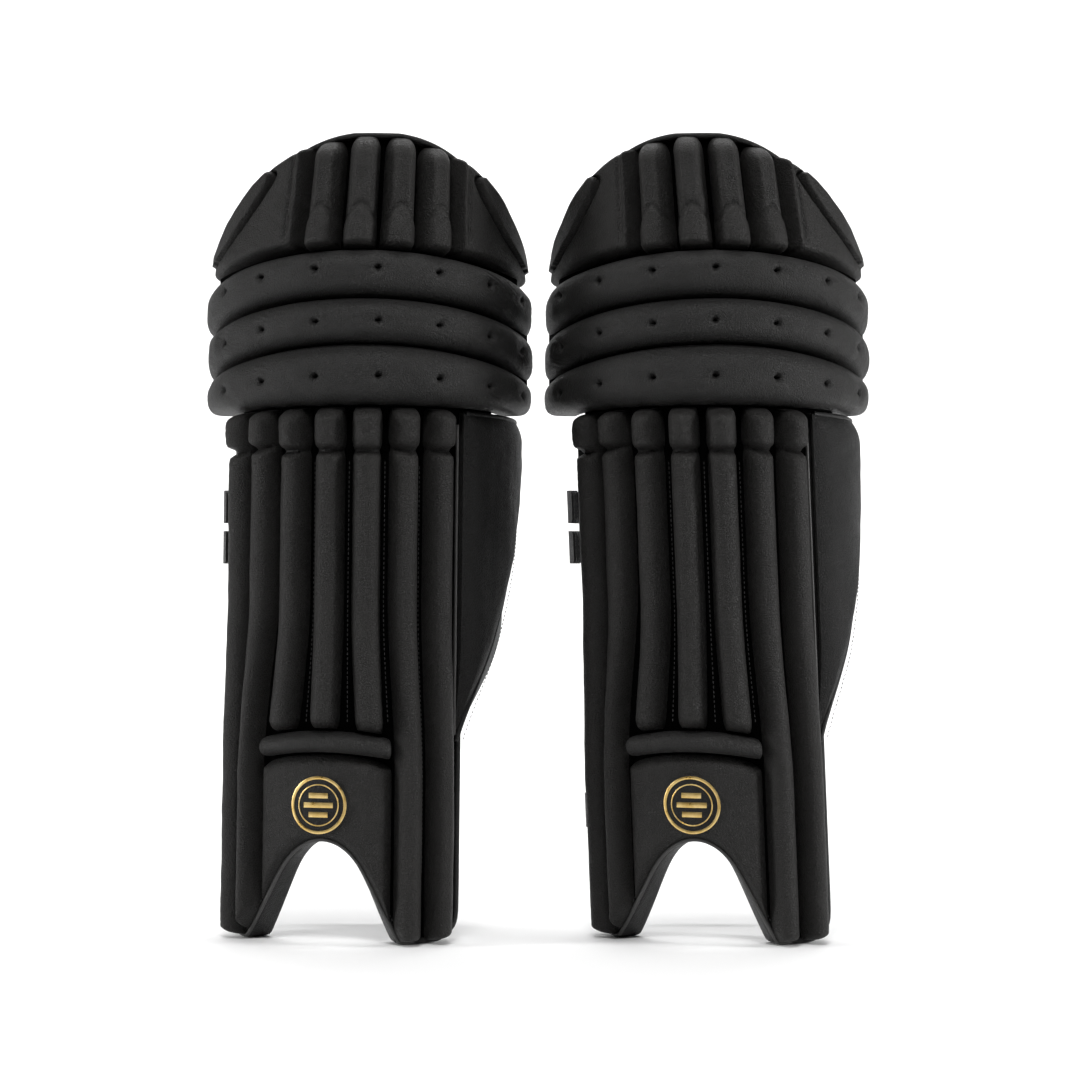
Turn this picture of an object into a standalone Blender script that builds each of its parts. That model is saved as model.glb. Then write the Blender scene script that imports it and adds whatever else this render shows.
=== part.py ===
"""A pair of cricket batting pads: shin ribs, three knee rolls, a domed top hat, wing and straps.

Each pad is built round the upright axis of the leg it protects. A place on a pad is given by its
radius from that axis, its angle from straight ahead (positive towards +X) and its height, so the
leather bends round the leg as the real pad does. Lengths are in millimetres until they reach a
vertex. The fronts face -Y, the pads stand on their lower edges at Z = 0, and X = 0 is midway.
"""

import math

import bmesh
import bpy

MM = 0.001

# --- the pair ---
PAD_SPACING = 302.0
PAD_AXIS_DEPTH = 14.7
PADS = (
    # name, side of X = 0, sideways lean of the shin's foot and of the crown, turn of the top hat
    ("right_pad", -1, -5.5, 6.2, 3.2),
    ("left_pad", 1, 18.5, -9.0, -2.6),
)

# --- layers, as radii from the leg's axis ---
LINING = (100.0, 110.0)
LINING_CHANNEL = 3.0
CANES = (110.6, 115.6)
SHELL = (116.4, 120.6)
RIB_BASE = 122.2
RIB_CREST = 142.0
BULB_CREST = 146.0
PANEL_CREST = 133.0
ROLL = (118.0, 148.0)
ROLL_EDGE = 12.0
ROLL_WALL = 5.0
HAT_BACK = (104.0, 116.6)
HAT_FRONT_BASE = 118.0
HAT_RIB_CREST = 142.0
HAT_KNUCKLE_CREST = 145.0
HAT_BOLSTER_CREST = 140.0
HAT_BOLSTER_RIM = 136.0
HAT_SET_BACK = 0.09
RIB_WALL = 0.22
BAR_CREST = 141.0

# --- heights ---
SHIN_TOP = 463.0
HAT_FOOT = 599.0
HAT_TOP = 700.0
HAT_DOME_HEIGHT = 145.0
HAT_DOME_ANGLE = 90.0
HAT_DOME_POWER = 0.45
HAT_CORNER_ANGLE = 84.0
HAT_CROWN_GAP = 2.0
END_DROOP = 30.0
SHIN_DROOP = 0.17
ROLL_END = 88.0
ROLLS = (
    # name, lower edge, upper edge, share of the droop that the lower edge takes, end taper
    ("knee_roll_1", 558.5, 597.0, 1.0, 0.90),
    ("knee_roll_2", 519.0, 556.0, 1.0, 0.94),
    ("knee_roll_3", 466.0, 516.5, SHIN_DROOP, 0.96),
)
HAT_RIB_ANGLES = (-19.0, -4.3, 10.4, 25.1)
HAT_RIB_HALF_WIDTH = 7.1
HAT_BOLSTERS = (
    # name, side, inner edge
    ("top_bolster_plain_side", -1, 27.0),
    ("top_bolster_wing_side", 1, 33.2),
)

CUP = (99.0, 115.6)
CUP_HEIGHTS = (503.0, 556.0)
CUP_HALF_ANGLE = 38.0

# --- shin ribs: they spread apart towards the foot, and the middle three end above the instep ---
SHIN_RIBS = (
    # angle at the knee, angle at the foot, share of the width kept at the foot
    (-55.3, -58.3, 0.85),
    (-40.9, -47.6, 0.66),
    (-26.5, -32.6, 1.00),
    (-12.1, -13.8, 1.00),
    (2.3, 5.2, 1.00),
    (16.7, 20.2, 0.92),
    (31.1, 33.4, 0.90),
)
SPREAD_HEIGHTS = (130.0, 300.0)
SPREAD_STEPS = (130.0, 185.0, 215.0, 245.0, 300.0)
RIB_HALF_WIDTH = 6.7
INSTEP_RIBS = (3, 4, 5)
INSTEP_RIB_FOOT = 188.0
SHELL_ANGLES = (-71.0, 44.0)
LINING_ANGLES = (-66.0, 42.0)

# --- canes ---
CANE_ANGLES = (-62.0, 38.0)
CANE_RODS = 12
CANE_VALLEY = 2.2
CANE_ABOVE_ARCH = 12.0
CANE_BELOW_TOP = 22.0

# --- instep ---
ARCH_HEIGHT = 89.0
ARCH_HALF_WIDTH = 50.0
ARCH_FLARE = 17.0
ARCH_FLARE_HEIGHT = 62.0
ARCH_ANGLE = -14.4
ARCH_STEPS = 9
ARCH_CUT_DEPTH = 60.0
ARCH_CUT_BELOW = 20.0
BAR_ANGLES = (-39.5, 12.2)
PANEL_ANGLES = (-41.6, 13.2)
INSTEP_BEND = 7.0
BAR_HEIGHTS = (168.0, 184.0)
PANEL_TOP = 164.0
BADGE_HEIGHTS = (98.0, 152.0)
BADGE_HALF_ANGLE = 10.5
BADGE = (133.5, 135.2)

# --- wing, side wrap and straps ---
WING_ANGLES = (41.6, 100.0)
WING = (128.0, 137.0)
WING_EDGE = 131.5
WING_FOOT = 174.0
WING_FULL_HEIGHT = 420.0
WING_FOOT_ANGLE = 42.8
WING_SWEEP = 1.1
WING_BELOW_TOP = 3.0
WING_HINGE = (126.0, 41.3)
WRAP_RADIUS = 117.0
WRAP_THICKNESS = 3.4
WRAP_HEIGHTS = (88.0, 415.0)
WRAP_ANGLES = (45.4, 104.0)
WRAP_BEND_HEIGHTS = (130.0, 280.0)
WRAP_ANKLE_DEPTH = 20.0
PATCH_ANGLES = (-70.6, -65.4)
PATCH = (121.3, 123.4)
PATCH_HEIGHTS = (84.0, 404.0)
STRAP_THICKNESS = 3.2
CALF_PIVOT = (116.0, 33.0)
ANKLE_PIVOT = (71.0, 24.0)
ANKLE_WRAP = 70.0
CALF_PATH = (
    (112.0, 41.0), (96.0, 72.0), (60.0, 103.0), (8.0, 117.0), (-48.0, 109.0),
    (-92.0, 77.0), (-117.0, 33.0), (-125.5, -8.0), (-125.0, -30.0), (-121.0, -46.0),
)
ANKLE_PATH = (
    (68.5, 31.0), (55.0, 52.0), (28.0, 68.0), (-12.0, 74.0), (-55.0, 62.0),
    (-89.0, 34.0), (-109.0, 4.0), (-117.5, -20.0), (-119.5, -33.0), (-118.8, -44.0),
)
STRAPS = (
    # name, lower edge, upper edge, pivot, path
    ("calf_strap_upper", 364.0, 393.0, CALF_PIVOT, CALF_PATH),
    ("calf_strap_lower", 328.0, 357.0, CALF_PIVOT, CALF_PATH),
    ("ankle_strap", 94.0, 124.0, ANKLE_PIVOT, ANKLE_PATH),
)

# --- hinges of the knee: behind the ends of the rolls, level with the gaps between them ---
KNEE_HINGE_DEPTH = 4.0
KNEE_HINGES = {
    "knee_roll_3": 460.0,
    "knee_roll_2": 486.0,
    "knee_roll_1": 527.5,
    "top_hat": 568.0,
}

LEATHER = (0.016, 0.016, 0.017, 1.0)
LINING_FABRIC = (0.028, 0.028, 0.030, 1.0)
CANE = (0.55, 0.40, 0.20, 1.0)
WEBBING = (0.012, 0.012, 0.013, 1.0)
GOLD = (0.62, 0.45, 0.16, 1.0)


def clear_scene():
    for item in list(bpy.data.objects):
        bpy.data.objects.remove(item, do_unlink=True)


def make_collection(name):
    collection = bpy.data.collections.new(name)
    bpy.context.scene.collection.children.link(collection)
    return collection


def make_material(name, colour, roughness, metallic=0.0):
    material = bpy.data.materials.new(name)
    material.use_nodes = True
    shader = material.node_tree.nodes["Principled BSDF"]
    shader.inputs["Base Color"].default_value = colour
    shader.inputs["Roughness"].default_value = roughness
    shader.inputs["Metallic"].default_value = metallic
    return material


def mix(low, high, share):
    return low + (high - low) * share


def eased(share):
    """Spread evenly spaced shares so that they crowd towards both ends."""
    return 0.5 - 0.5 * math.cos(math.pi * share)


def placed(value, start, end):
    """Where a value lies between two limits, from 0 to 1."""
    return min(1.0, max(0.0, (value - start) / (end - start)))


def dome(share, power):
    """A rounded profile: 0 at both ends of the share, 1 in the middle."""
    return (1.0 - abs(2.0 * share - 1.0) ** power) ** (1.0 / power)


def droop(angle):
    """How far the knee rolls and their neighbours hang lower at this angle."""
    return END_DROOP * (1.0 - math.cos(math.radians(angle))) / (1.0 - math.cos(math.radians(ROLL_END)))


def shin_top(angle):
    """Height of the shin's upper edge, which hangs far less than the rolls do."""
    return SHIN_TOP - SHIN_DROOP * droop(angle)


def hat_edge(height):
    """Half-angle of the top hat's domed outline at this height."""
    share = max(0.0, (HAT_TOP - height) / HAT_DOME_HEIGHT)
    return HAT_DOME_ANGLE * share ** HAT_DOME_POWER


def hat_crown(angle):
    """Height of the top hat's domed outline at this angle."""
    return HAT_TOP - HAT_DOME_HEIGHT * (abs(angle) / HAT_DOME_ANGLE) ** (1.0 / HAT_DOME_POWER)


def hat_foot(angle):
    return HAT_FOOT - droop(angle)


def arch_half_width(height):
    """Half-width of the instep cut-out, an ellipse that flares at the floor."""
    ellipse = ARCH_HALF_WIDTH * math.sqrt(max(0.0, 1.0 - (height / ARCH_HEIGHT) ** 2))
    flare = ARCH_FLARE * max(0.0, 1.0 - height / ARCH_FLARE_HEIGHT) ** 2
    return ellipse + flare


class Pad:
    """One pad: its place, its lean, and the hinge empties that its pieces hang from."""

    def __init__(self, name, side, foot_lean, crown_lean, hat_turn, collection, materials):
        self.name = name
        self.centre = side * PAD_SPACING / 2.0
        self.foot_lean = foot_lean
        self.crown_lean = crown_lean
        self.hat_turn = hat_turn
        self.collection = collection
        self.materials = materials
        self.hinges = {}

    def shift(self, height):
        """Sideways lean of the soft pad at this height."""
        below_knee = max(0.0, (SHIN_TOP - height) / SHIN_TOP)
        above_foot = max(0.0, (height - HAT_FOOT) / (HAT_TOP - HAT_FOOT))
        return self.foot_lean * below_knee + self.crown_lean * above_foot

    def flat(self, x, y, height):
        """A world point from plan coordinates about the leg's axis."""
        return ((self.centre + self.shift(height) + x) * MM, (PAD_AXIS_DEPTH + y) * MM, height * MM)

    def round(self, radius, angle, height):
        """A world point from radius, angle and height about the leg's axis."""
        turn = math.radians(angle)
        return self.flat(radius * math.sin(turn), -radius * math.cos(turn), height)

    def hat(self, radius, angle, height):
        """A world point on the top hat, which is turned and leans back as it rises."""
        return self.round(radius - HAT_SET_BACK * max(0.0, height - HAT_FOOT), angle + self.hat_turn, height)

    def hinge(self, body, x, y, height):
        """An empty on a moving body's axis."""
        empty = bpy.data.objects.new(f"{self.name}_{body}_axis", None)
        empty.empty_display_size = 0.03
        empty.location = self.flat(x, y, height)
        self.collection.objects.link(empty)
        self.hinges[body] = empty

    def add(self, name, body, mesh, material):
        """Put a world-space mesh into the pad as one named object hung from its body's axis."""
        parent = self.hinges[body]
        for vertex in mesh.vertices:
            vertex.co -= parent.location
        piece = bpy.data.objects.new(f"{self.name}_{name}", mesh)
        piece.parent = parent
        mesh.materials.append(self.materials[material])
        self.collection.objects.link(piece)
        return piece


def solid_over_grid(columns, rows, place):
    """A closed mesh: a grid and its extruded twin, each vertex put where place(s, t, outer) says."""
    shape = bmesh.new()
    bmesh.ops.create_grid(shape, x_segments=columns, y_segments=rows, size=0.5)
    faces = shape.faces[:]
    lifted = bmesh.ops.extrude_face_region(shape, geom=faces, use_keep_orig=True)["geom"]
    outer = {item for item in lifted if isinstance(item, bmesh.types.BMVert)}
    for vertex in shape.verts:
        vertex.co = place(vertex.co.x + 0.5, vertex.co.y + 0.5, vertex in outer)
    bmesh.ops.recalc_face_normals(shape, faces=shape.faces[:])
    mesh = bpy.data.meshes.new("solid")
    shape.to_mesh(mesh)
    shape.free()
    return mesh


def smooth(piece, angle=40.0):
    piece.data.shade_smooth()
    piece.data.set_sharp_from_angle(angle=math.radians(angle))


def cut_by(piece, cutter):
    cut = piece.modifiers.new("arch", "BOOLEAN")
    cut.operation = "DIFFERENCE"
    cut.object = cutter


def arch_cutter(pad, cutters):
    """The instep cut-out as an upright outline pushed through the front of the pad."""
    half = [ARCH_HEIGHT * math.sin(math.pi / 2.0 * step / ARCH_STEPS) for step in range(ARCH_STEPS + 1)]
    left = [(-arch_half_width(height), height) for height in half]
    right = [(arch_half_width(height), height) for height in reversed(half[:-1])]
    skirt = ARCH_HALF_WIDTH + ARCH_FLARE
    outline = [(-skirt, -ARCH_CUT_BELOW)] + left + right + [(skirt, -ARCH_CUT_BELOW)]
    curve = bpy.data.curves.new("arch_outline", "CURVE")
    curve.dimensions = "2D"
    curve.fill_mode = "BOTH"
    curve.extrude = ARCH_CUT_DEPTH * MM
    spline = curve.splines.new("POLY")
    spline.points.add(len(outline) - 1)
    for point, (x, y) in zip(spline.points, outline):
        point.co = (x * MM, y * MM, 0.0, 1.0)
    spline.use_cyclic_u = True
    drawing = bpy.data.objects.new("arch_drawing", curve)
    cutters.objects.link(drawing)
    x = RIB_BASE * math.sin(math.radians(ARCH_ANGLE)) + pad.shift(0.0)
    drawing.location = ((pad.centre + x) * MM, (PAD_AXIS_DEPTH - RIB_BASE) * MM, 0.0)
    drawing.rotation_euler = (math.radians(90.0), 0.0, 0.0)
    bpy.context.view_layer.update()
    evaluated = drawing.evaluated_get(bpy.context.evaluated_depsgraph_get())
    mesh = bpy.data.meshes.new_from_object(evaluated)
    weld = bmesh.new()
    weld.from_mesh(mesh)
    bmesh.ops.remove_doubles(weld, verts=weld.verts[:], dist=0.00001)
    weld.to_mesh(mesh)
    weld.free()
    cutter = bpy.data.objects.new(f"{pad.name}_arch_cutter", mesh)
    cutter.matrix_world = drawing.matrix_world
    cutter.hide_render = True
    cutter.display_type = "WIRE"
    cutters.objects.link(cutter)
    bpy.data.objects.remove(drawing, do_unlink=True)
    return cutter


def build_hinges(pad):
    pad.hinge("shin", 0.0, 0.0, 0.0)
    for body, height in KNEE_HINGES.items():
        pad.hinge(body, 0.0, KNEE_HINGE_DEPTH, height)
    turn = math.radians(WING_HINGE[1])
    pad.hinge("wing", WING_HINGE[0] * math.sin(turn), -WING_HINGE[0] * math.cos(turn), SHIN_TOP)
    for name, low, high, pivot, _ in STRAPS:
        pad.hinge(name, pivot[0], pivot[1], (low + high) / 2.0)


def build_shell(pad, cutter):
    """The curved back of the shin that the ribs are sewn to."""

    def place(s, t, outer):
        angle = mix(*SHELL_ANGLES, s)
        return pad.round(SHELL[outer], angle, mix(0.0, shin_top(angle), t))

    piece = pad.add("shin_shell", "shin", solid_over_grid(18, 5, place), "leather")
    cut_by(piece, cutter)
    smooth(piece)


def build_lining(pad, cutter):
    """The padded lining against the leg, with three upright channels."""

    def place(s, t, outer):
        angle = mix(*LINING_ANGLES, s)
        channel = LINING_CHANNEL * abs(math.sin(3.0 * math.pi * s))
        radius = LINING[1] if outer else LINING[0] + LINING_CHANNEL - channel
        return pad.round(radius, angle, mix(0.0, shin_top(angle) - LINING_CHANNEL, t))

    piece = pad.add("shin_lining", "shin", solid_over_grid(12, 4, place), "lining")
    cut_by(piece, cutter)
    smooth(piece)


def build_canes(pad):
    """The mat of split canes between the lining and the shell."""
    low, high = ARCH_HEIGHT + CANE_ABOVE_ARCH, SHIN_TOP - CANE_BELOW_TOP

    def place(s, t, outer):
        ridge = round(s * CANE_RODS * 2) % 2
        radius = mix(CANES[0] + CANE_VALLEY, CANES[1], ridge) if outer else CANES[0]
        return pad.round(radius, mix(*CANE_ANGLES, s), mix(low, high, t))

    pad.add("cane_mat", "shin", solid_over_grid(CANE_RODS * 2, 1, place), "cane")


def rib_crest(s, crest, base):
    """Radius of a rib's padded front across its width."""
    return mix(mix(base, crest, RIB_WALL), crest, dome(eased(s), 2.4))


def build_shin_rib(pad, number, cutter):
    """A long padded rib with a knuckle at its top; it narrows and leans away towards the foot."""
    knee_angle, foot_angle, foot_width = SHIN_RIBS[number - 1]
    short = number in INSTEP_RIBS
    foot = INSTEP_RIB_FOOT if short else 0.0
    stations = [
        # height, crest, share of width, share of the shin's droop
        (foot, RIB_CREST - (8.0 if short else 2.0), 0.92, 0.0),
        (foot + 14.0, RIB_CREST, 1.0, 0.0),
    ]
    stations += [(height, RIB_CREST, 1.0, 0.0) for height in SPREAD_STEPS if height > foot + 20.0]
    stations += [
        (418.0, RIB_CREST, 1.0, 0.0),
        (424.0, RIB_CREST - 6.0, 0.96, 0.3),
        (433.0, BULB_CREST - 3.0, 1.04, 0.6),
        (446.0, BULB_CREST, 1.06, 0.9),
        (457.0, BULB_CREST - 5.0, 1.0, 1.0),
        (SHIN_TOP, BULB_CREST - 15.0, 0.86, 1.0),
    ]
    rows = len(stations) - 1

    def place(s, t, outer):
        height, crest, width, hang = stations[round(t * rows)]
        gathered = eased(placed(height, *SPREAD_HEIGHTS))
        width *= RIB_HALF_WIDTH * mix(foot_width, 1.0, gathered)
        angle = mix(foot_angle, knee_angle, gathered) + width * (2.0 * eased(s) - 1.0)
        radius = rib_crest(s, crest, RIB_BASE) if outer else RIB_BASE
        return pad.round(radius, angle, height - hang * SHIN_DROOP * droop(angle))

    piece = pad.add(f"shin_rib_{number}", "shin", solid_over_grid(4, rows, place), "leather")
    smooth(piece)
    if number in (INSTEP_RIBS[0] - 1, INSTEP_RIBS[-1] + 1):
        cut_by(piece, cutter)


def build_instep(pad, cutter):
    """The bar and the panel below the short ribs, which fall away at their sides, and the badge."""

    def bend(s):
        return INSTEP_BEND * (2.0 * s - 1.0) ** 2

    def place_bar(s, t, outer):
        crest = mix(RIB_BASE + 5.0, BAR_CREST, dome(t, 2.2) * dome(eased(s), 6.0))
        height = mix(*BAR_HEIGHTS, t) - bend(eased(s))
        return pad.round(crest if outer else RIB_BASE, mix(*BAR_ANGLES, eased(s)), height)

    def place_panel(s, t, outer):
        crown = dome(eased(s), 5.0) * dome(eased(t), 6.0)
        radius = mix(RIB_BASE + 6.0, PANEL_CREST, crown) if outer else RIB_BASE
        return pad.round(radius, mix(*PANEL_ANGLES, s), mix(0.0, PANEL_TOP - bend(s), t))

    def place_badge(s, t, outer):
        angle = ARCH_ANGLE + BADGE_HALF_ANGLE * (2.0 * s - 1.0)
        return pad.round(BADGE[outer], angle, mix(*BADGE_HEIGHTS, t))

    smooth(pad.add("instep_bar", "shin", solid_over_grid(8, 4, place_bar), "leather"))
    panel = pad.add("instep_panel", "shin", solid_over_grid(8, 5, place_panel), "leather")
    cut_by(panel, cutter)
    smooth(panel)
    pad.add("badge", "shin", solid_over_grid(4, 1, place_badge), "gold")


def build_wing(pad):
    """The side flap past the last rib; its rear edge sweeps forward towards the ankle."""

    def place(s, t, outer):
        height = mix(WING_FOOT, SHIN_TOP - WING_BELOW_TOP, t)
        rise = placed(height, WING_FOOT, WING_FULL_HEIGHT)
        angle = mix(WING_ANGLES[0], mix(WING_FOOT_ANGLE, WING_ANGLES[1], rise ** WING_SWEEP), s)
        crest = mix(WING_EDGE, WING[1], dome(eased(s), 4.0))
        return pad.round(crest if outer else WING[0], angle, height - t * SHIN_DROOP * droop(angle))

    smooth(pad.add("wing", "wing", solid_over_grid(7, 8, place), "leather"))


def build_side_wrap(pad):
    """The inner flap behind the wing that carries the straps to the back of the leg."""
    edge = math.radians(WRAP_ANGLES[0])

    def place(s, t, outer):
        height = mix(*WRAP_HEIGHTS, t)
        blend = eased(placed(height, *WRAP_BEND_HEIGHTS))
        offset = WRAP_THICKNESS if outer else 0.0
        turn = math.radians(mix(*WRAP_ANGLES, s))
        high = (WRAP_RADIUS + offset) * math.sin(turn), -(WRAP_RADIUS + offset) * math.cos(turn)
        low_x = mix(WRAP_RADIUS * math.sin(edge), ANKLE_WRAP, min(1.0, 3.0 * s)) + 0.7 * offset
        low_y = mix(-WRAP_RADIUS * math.cos(edge), WRAP_ANKLE_DEPTH, s)
        return pad.flat(mix(low_x, high[0], blend), mix(low_y, high[1], blend), height)

    smooth(pad.add("side_wrap", "shin", solid_over_grid(7, 5, place), "lining"))


def build_patch(pad):
    """The loop strip that the straps' free ends press onto."""

    def place(s, t, outer):
        return pad.round(PATCH[outer], mix(*PATCH_ANGLES, s), mix(*PATCH_HEIGHTS, t))

    pad.add("strap_patch", "shin", solid_over_grid(2, 2, place), "webbing")


def build_straps(pad):
    for name, low, high, _, path in STRAPS:
        last = len(path) - 1

        def place(s, t, outer, low=low, high=high, path=path, last=last):
            index = round(s * last)
            before, after = path[max(0, index - 1)], path[min(last, index + 1)]
            run = (after[0] - before[0], after[1] - before[1])
            length = math.hypot(*run)
            side = STRAP_THICKNESS / 2.0 if outer else -STRAP_THICKNESS / 2.0
            x = path[index][0] + side * run[1] / length
            y = path[index][1] - side * run[0] / length
            return pad.flat(x, y, mix(low, high, t))

        smooth(pad.add(name, name, solid_over_grid(last, 1, place), "webbing"))


def build_rolls(pad):
    """The three knee rolls, which hang lower and grow thinner towards their ends."""
    for name, low, high, low_share, taper in ROLLS:

        def place(s, t, outer, low=low, high=high, low_share=low_share, taper=taper):
            angle = ROLL_END * (2.0 * s - 1.0)
            bottom, top = low - low_share * droop(angle), high - droop(angle)
            fade = abs(2.0 * s - 1.0) ** 3
            round_end = dome(s, 9.0)
            tall = (top - bottom) / 2.0 * mix(1.0, taper, fade) * mix(0.8, 1.0, round_end)
            height = (bottom + top) / 2.0 + tall * (2.0 * eased(t) - 1.0)
            thick = mix(ROLL_EDGE, ROLL[1] - ROLL[0], round_end) * mix(1.0, 0.9, fade)
            crest = mix(ROLL_WALL, thick, dome(eased(t), 2.6))
            return pad.round(ROLL[0] + crest if outer else ROLL[0], angle, height)

        smooth(pad.add(name, name, solid_over_grid(16, 4, place), "leather"))


def build_knee_cup(pad):
    """The padded cup behind the middle roll that the kneecap sits in."""

    def place(s, t, outer):
        angle = CUP_HALF_ANGLE * (2.0 * s - 1.0)
        hollow = dome(eased(s), 3.0) * dome(eased(t), 3.0)
        radius = CUP[1] if outer else mix(mix(*CUP, 0.5), CUP[0], hollow)
        return pad.round(radius, angle, mix(*CUP_HEIGHTS, t) - droop(angle))

    smooth(pad.add("knee_cup", "knee_roll_2", solid_over_grid(6, 4, place), "lining"))


def build_hat_back(pad):
    """The padded back of the top hat, with the domed outline."""
    corner = hat_foot(HAT_CORNER_ANGLE)
    crown = HAT_TOP - HAT_CROWN_GAP

    def place(s, t, outer):
        level = mix(corner, crown, t ** 0.8)
        angle = hat_edge(level) * (2.0 * s - 1.0)
        height = mix(hat_foot(angle + pad.hat_turn), crown, placed(level, corner, crown))
        return pad.hat(HAT_BACK[outer], angle, height)

    smooth(pad.add("top_hat_back", "top_hat", solid_over_grid(14, 9, place), "leather"))


def build_hat_ribs(pad):
    """Four upright ribs, each with a raised knuckle at its foot."""
    for number, angle in enumerate(HAT_RIB_ANGLES, start=1):
        top = hat_crown(angle) - HAT_CROWN_GAP
        stations = (
            # height, crest, share of width, share of droop
            (HAT_FOOT + 1.5, HAT_RIB_CREST - 10.0, 0.90, 1.0),
            (HAT_FOOT + 9.0, HAT_KNUCKLE_CREST, 1.0, 1.0),
            (HAT_FOOT + 22.0, HAT_KNUCKLE_CREST, 1.0, 0.6),
            (HAT_FOOT + 29.0, HAT_RIB_CREST - 4.0, 1.0, 0.4),
            (HAT_FOOT + 60.0, HAT_RIB_CREST, 1.0, 0.0),
            (top - 12.0, HAT_RIB_CREST - 2.0, 0.98, 0.0),
            (top - 3.0, HAT_RIB_CREST - 9.0, 0.86, 0.0),
            (top, HAT_RIB_CREST - 18.0, 0.6, 0.0),
        )
        rows = len(stations) - 1

        def place(s, t, outer, angle=angle, stations=stations, rows=rows):
            height, crest, width, hang = stations[round(t * rows)]
            here = angle + HAT_RIB_HALF_WIDTH * width * (2.0 * eased(s) - 1.0)
            radius = rib_crest(s, crest, HAT_FRONT_BASE) if outer else HAT_FRONT_BASE
            return pad.hat(radius, here, height - hang * droop(here + pad.hat_turn))

        smooth(pad.add(f"top_rib_{number}", "top_hat", solid_over_grid(4, rows, place), "leather"))


def build_hat_bolsters(pad):
    """The side cushions between the outer ribs and the domed edge."""
    corner = hat_foot(HAT_CORNER_ANGLE)
    for name, side, inner_edge in HAT_BOLSTERS:
        peak = hat_crown(inner_edge + 1.0) - HAT_CROWN_GAP

        def place(s, t, outer, side=side, inner_edge=inner_edge, peak=peak):
            far = max(hat_edge(mix(corner, peak, t)) - 1.2, inner_edge + 1.5)
            angle = side * mix(inner_edge, far, eased(s))
            height = mix(hat_foot(angle + pad.hat_turn) + 2.0, peak, t)
            crown = dome(eased(s), 2.6) * dome(mix(0.03, 0.9, t), 4.0)
            rim = mix(HAT_FRONT_BASE + 6.0, HAT_BOLSTER_RIM, s * dome(mix(0.1, 1.0, t), 6.0))
            crest = mix(rim, HAT_BOLSTER_CREST, crown)
            return pad.hat(crest if outer else HAT_FRONT_BASE, angle, height)

        smooth(pad.add(name, "top_hat", solid_over_grid(6, 7, place), "leather"))


def build_pad(settings, collection, cutters, materials):
    pad = Pad(*settings, collection, materials)
    build_hinges(pad)
    cutter = arch_cutter(pad, cutters)
    build_shell(pad, cutter)
    build_lining(pad, cutter)
    build_canes(pad)
    for number in range(1, len(SHIN_RIBS) + 1):
        build_shin_rib(pad, number, cutter)
    build_instep(pad, cutter)
    build_wing(pad)
    build_side_wrap(pad)
    build_patch(pad)
    build_straps(pad)
    build_rolls(pad)
    build_knee_cup(pad)
    build_hat_back(pad)
    build_hat_ribs(pad)
    build_hat_bolsters(pad)


def main():
    clear_scene()
    collection = make_collection("batting_pads")
    cutters = make_collection("cutters")
    materials = {
        "leather": make_material("black_leather", LEATHER, 0.48),
        "lining": make_material("lining_fabric", LINING_FABRIC, 0.85),
        "cane": make_material("split_cane", CANE, 0.6),
        "webbing": make_material("strap_webbing", WEBBING, 0.8),
        "gold": make_material("gold_foil", GOLD, 0.35, 0.9),
    }
    for settings in PADS:
        build_pad(settings, collection, cutters, materials)


main()
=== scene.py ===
"""Looks of a standing pair of black batting pads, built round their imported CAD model.

Every place on a pad is a radius from the leg's axis, an angle from straight ahead (positive towards
+X) and a height, all in millimetres and degrees, as in the CAD. Pad.place turns them into metres.
"""

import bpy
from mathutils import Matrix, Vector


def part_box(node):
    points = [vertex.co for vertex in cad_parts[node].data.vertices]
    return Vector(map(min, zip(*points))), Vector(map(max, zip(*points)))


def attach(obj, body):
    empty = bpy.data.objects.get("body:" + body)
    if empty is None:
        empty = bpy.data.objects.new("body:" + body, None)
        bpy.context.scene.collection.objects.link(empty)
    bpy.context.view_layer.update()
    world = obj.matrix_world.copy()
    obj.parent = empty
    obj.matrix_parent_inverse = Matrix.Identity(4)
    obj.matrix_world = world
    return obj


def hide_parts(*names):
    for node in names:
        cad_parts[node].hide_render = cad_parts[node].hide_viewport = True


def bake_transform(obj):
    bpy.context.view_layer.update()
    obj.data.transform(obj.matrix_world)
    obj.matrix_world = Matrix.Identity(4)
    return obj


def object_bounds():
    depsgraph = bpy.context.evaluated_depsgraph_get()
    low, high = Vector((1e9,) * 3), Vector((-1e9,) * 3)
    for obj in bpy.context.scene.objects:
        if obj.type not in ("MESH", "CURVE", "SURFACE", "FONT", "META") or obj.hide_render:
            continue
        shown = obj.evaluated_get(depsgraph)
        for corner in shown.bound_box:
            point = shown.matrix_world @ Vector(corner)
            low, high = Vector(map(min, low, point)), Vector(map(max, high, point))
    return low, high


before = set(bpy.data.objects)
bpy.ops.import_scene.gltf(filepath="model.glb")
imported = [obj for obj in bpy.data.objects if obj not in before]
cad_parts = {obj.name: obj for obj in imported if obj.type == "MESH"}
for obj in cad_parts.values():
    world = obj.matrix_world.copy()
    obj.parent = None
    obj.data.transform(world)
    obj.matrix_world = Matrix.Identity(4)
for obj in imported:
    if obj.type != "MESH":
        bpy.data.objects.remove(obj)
cad_box = [list(map(float, corner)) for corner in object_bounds()]

import math

import bpy
import numpy as np
from mathutils import Vector

MM = 0.001

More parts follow.
